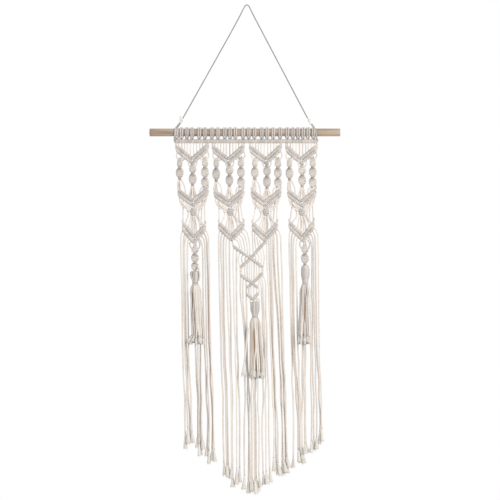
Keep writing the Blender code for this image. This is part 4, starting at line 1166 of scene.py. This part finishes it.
# A fringe cord has its root, its x at three levels, and its hem. The last `fray` of its
# length is a brush.
Fringe = namedtuple("Fringe", "root_x root_z high_x middle_x low_x hem_x hem_z fray")
FRINGE = rows_of(
    Fringe,
    (-146.0, -506.2, -150.1, -146.5, -140.6, -139.7, -999.0, 37.1),
    (-141.1, -513.0, -144.0, -140.4, -134.8, -133.0, -986.6, 36.0),
    (-136.6, -519.8, -141.8, -138.2, -131.2, -127.1, -984.4, 29.2),
    (-132.5, -525.4, -135.2, -133.0, -125.8, -123.1, -984.4, 24.8),
    (-108.7, -524.2, -101.0, -97.0, -90.4, -92.0, -1015.9, 27.0),
    (-103.9, -517.5, -95.6, -91.8, -86.6, -87.1, -1031.6, 29.2),
    (-99.4, -510.8, -91.3, -86.6, -79.4, -80.3, -1026.0, 28.1),
    (-95.2, -504.0, -86.6, -82.3, -75.8, -72.7, -1027.1, 27.0),
    (-62.3, -506.2, -64.8, -59.8, -54.5, -50.8, -1058.6, 29.2),
    (-56.9, -511.9, -59.6, -53.8, -47.5, -44.8, -1062.0, 28.1),
    (-51.5, -517.7, -54.2, -50.8, -44.8, -39.4, -1063.1, 29.2),
    (-46.1, -522.7, -47.9, -40.3, -34.9, -37.1, -1065.4, 27.0),
    (-40.3, -526.3, -40.5, -37.3, -33.5, -33.1, -1084.5, 23.6),
    (-30.8, -545.6, -31.9, -26.8, -23.6, -25.0, -1078.9, 33.8),
    (-24.5, -550.1, -24.8, -22.9, -17.6, -17.8, -1074.4, 33.8),
    (-14.8, -608.6, -16.0, -5.2, -6.0, -8.8, -1090.1, 31.5),
    (-9.0, -613.1, -10.1, -2.7, 1.8, 2.5, -1099.1, 31.5),
    (-2.9, -617.6, -2.7, -1.2, 5.2, 9.0, -1095.8, 32.6),
    (25.6, -613.8, 31.7, 36.9, 34.4, 37.6, -1080.0, 28.1),
    (29.7, -610.0, 35.8, 40.7, 41.2, 45.0, -1076.6, 27.0),
    (33.5, -606.4, 41.4, 44.3, 49.0, 52.6, -1073.2, 25.9),
    (44.3, -534.8, 44.1, 52.6, 59.2, 58.7, -1048.5, 30.4),
    (47.9, -529.0, 49.1, 55.4, 62.6, 69.5, -1057.5, 28.1),
    (52.0, -523.6, 53.6, 58.1, 66.1, 74.9, -1058.6, 29.2),
    (55.6, -518.2, 57.8, 70.9, 77.2, 79.9, -1057.5, 28.1),
    (59.2, -513.2, 61.0, 73.6, 80.3, 86.6, -1051.9, 27.0),
    (62.8, -508.3, 67.3, 76.9, 84.1, 90.4, -1053.0, 25.9),
    (66.6, -502.0, 75.4, 81.7, 87.3, 94.7, -1040.6, 24.8),
    (96.5, -505.6, 94.1, 99.2, 103.5, 103.1, -1040.6, 24.8),
    (101.7, -511.4, 98.8, 102.6, 112.9, 116.8, -1028.2, 28.1),
    (106.9, -517.3, 103.3, 106.0, 116.3, 121.3, -1029.4, 27.0),
    (112.3, -522.7, 109.8, 112.9, 120.1, 127.1, -1031.6, 33.8),
    (136.8, -519.3, 144.9, 146.0, 149.6, 148.7, -1001.2, 28.1),
    (140.9, -511.9, 148.7, 152.1, 155.9, 155.0, -999.0, 28.1),
    (144.9, -505.1, 153.0, 156.1, 163.8, 161.8, -988.9, 29.2),
    (148.5, -498.4, 159.5, 162.0, 167.6, 168.5, -981.0, 28.1),
)
CoreEnd = namedtuple("CoreEnd", "skirt_x low_x hem_x hem_z fray")
CORE_ENDS = rows_of(
    CoreEnd,
    (-117.4, -111.4, -113.2, -995.6, 27.0),
    (-111.4, -109.3, -108.2, -1013.6, 27.0),
    (-105.8, -105.8, -105.5, -1011.4, 27.0),
    (-103.9, -102.8, -99.7, -999.0, 30.4),
    (8.8, 8.8, 14.2, -1092.4, 29.2),
    (14.4, 15.1, 19.8, -1099.1, 31.5),
    (17.6, 17.8, 24.1, -1094.6, 31.5),
    (22.9, 24.3, 29.5, -1083.4, 27.0),
    (123.8, 122.6, 124.9, -1022.6, 24.8),
    (127.1, 128.5, 130.1, -1009.1, 24.8),
    (130.3, 130.1, 134.8, -1006.9, 22.5),
    (141.8, 144.2, 142.9, -1006.9, 27.0),
)
TAN_CORDS = (1, 3, 6, 9, 23, 26, 29, 34, 41, 47)
FRINGE_TURN = 38.0
FRINGE_MIDDLE_Z = -764.0
FRINGE_LOW_Z = -925.0
FRINGE_DEPTH = 6.0
FRINGE_STAGGER = 2.3
FRINGE_TUFT_WIDTH = 11.0
WAVE_HEIGHT = 0.9
WAVE_TURN = math.tau * 160.0 / 110.0


def hanging_part(knots, low_x, end, free_y, phase):
    """The route carried on to the low level, with slight waves, and to the brush, then the
    brush's tip and its cut. At share s of the way a wave adds sin(WAVE_TURN s + phase)."""
    last_x, last_y, last_z = knots[-1]
    tip = (low_x + (end.hem_x - low_x) * 0.3, free_y, end.hem_z + end.fray)
    waved = [
        (
            last_x + (low_x - last_x) * share + WAVE_HEIGHT * math.sin(WAVE_TURN * share + phase),
            last_y + (free_y - last_y) * share,
            last_z + (FRINGE_LOW_Z - last_z) * share,
        )
        for share in (0.25, 0.5, 0.75, 1.0)
    ]
    return knots + waved + [tip], tip, (end.hem_x, free_y, end.hem_z)


hanging = []
for number, cord in enumerate(FRINGE):
    step = cord.high_x - cord.root_x
    free_y = FRINGE_DEPTH + FRINGE_STAGGER * (-1) ** number
    wave_a, wave_b, phase = chance.uniform(-1.0, 1.0, 3)
    turn_z = cord.root_z - FRINGE_TURN
    drop = (FRINGE_MIDDLE_Z - turn_z) / 3.0
    lean = (cord.middle_x - cord.high_x) / 3.0
    route = [
        (cord.root_x, STRAND_Y, cord.root_z),
        (cord.root_x + 0.62 * step, 0.2 * free_y, cord.root_z - 7.5),
        (cord.root_x + 0.92 * step, 0.4 * free_y, cord.root_z - 17.0),
        (cord.high_x, 0.6 * free_y, turn_z),
        (cord.high_x + lean + wave_a, 0.7 * free_y, turn_z + drop),
        (cord.high_x + 2.0 * lean + wave_b, 0.8 * free_y, turn_z + 2.0 * drop),
        (cord.middle_x, 0.9 * free_y, FRINGE_MIDDLE_Z),
    ]
    hanging.append(hanging_part(route, cord.low_x, cord, free_y, 3.0 * phase))
for number, end in enumerate(CORE_ENDS):
    tassel = TASSELS[number // 4]
    stagger = FRINGE_STAGGER * (-1) ** number
    route = [
        (tassel.x + 1.8 * (number % 4 - 1.5), 0.0, tassel.tie_z - 12.0),
        (end.skirt_x, stagger - tassel.forward, tassel.hem_z),
    ]
    phase = chance.uniform(-3.0, 3.0)
    hanging.append(hanging_part(route, end.low_x, end, 1.0 + stagger, phase))
fringe_routes, brush_tips, brush_cuts = zip(*hanging)
fringe_grid, fringe_tones = straight_strands(fringe_routes, 52)
fringe_tones = np.minimum(fringe_tones, 1.0)
fringe_tones[list(TAN_CORDS)] += 0.5
fit("fringe_cords", [(fringe_grid, fringe_tones)], "macrame", cotton)
fringe_tufts = frayed_ends(brush_tips, brush_cuts, FRINGE_TUFT_WIDTH)
fit("fringe_tufts", fringe_tufts, "macrame", frayed)

# ---------------------------------------------------------------- floor and light
# A pale floor lies well below the piece. Soft light comes from all round, with one wide
# lamp in front on the right.
FLOOR_Z = -1350.0
FLOOR_RADIUS = 1200.0
FLOOR_THICKNESS = 10.0
FLOOR_SIDES = 96
LAMP_PLACE = (1500.0, -2200.0, 300.0)
LAMP_TILT = 72.0
LAMP_TURN = 34.3
LAMP_SIZE = 1600.0
LAMP_POWER = 60.0


def pale_floor():
    """Smooth pale plaster with a faint mottle."""
    material, paint = new_material("pale_floor", {"Roughness": 0.9})
    mottle = paint.node("TexCoord", output=3).noise(6.0, 3.0)
    color = mottle.mix((0.78, 0.77, 0.76, 1.0), (0.84, 0.83, 0.82, 1.0))
    finish_surface(material, color, mottle, 0.2)
    return material


turn = np.linspace(0.0, math.tau, FLOOR_SIDES, endpoint=False)
rims = [about_axis(0.0, FLOOR_RADIUS, turn, z) for z in (FLOOR_Z, FLOOR_Z - FLOOR_THICKNESS)]
rim = list(range(FLOOR_SIDES))
faces = [rim, [FLOOR_SIDES + k for k in reversed(rim)]]
faces += [
    [k, FLOOR_SIDES + k, FLOOR_SIDES + (k + 1) % FLOOR_SIDES, (k + 1) % FLOOR_SIDES]
    for k in rim
]
floor_mesh = bpy.data.meshes.new("floor")
floor_mesh.from_pydata((np.concatenate(rims) * MM).tolist(), [], faces)
floor_mesh.materials.append(pale_floor())
floor = linked(floor_mesh)

world = bpy.data.worlds.new("soft_studio")
world.use_nodes = True
world.node_tree.nodes["Background"].inputs["Color"].default_value = WHITE
world.node_tree.nodes["Background"].inputs["Strength"].default_value = 1.0
scene.world = world
disk = bpy.data.lights.new("wide_lamp", "AREA")
disk.shape = "DISK"
disk.size = LAMP_SIZE * MM
disk.energy = LAMP_POWER
lamp = linked(disk)
lamp.location = np.array(LAMP_PLACE) * MM
lamp.rotation_euler = (math.radians(LAMP_TILT), 0.0, math.radians(LAMP_TURN))
scene.view_settings.view_transform = "Standard"
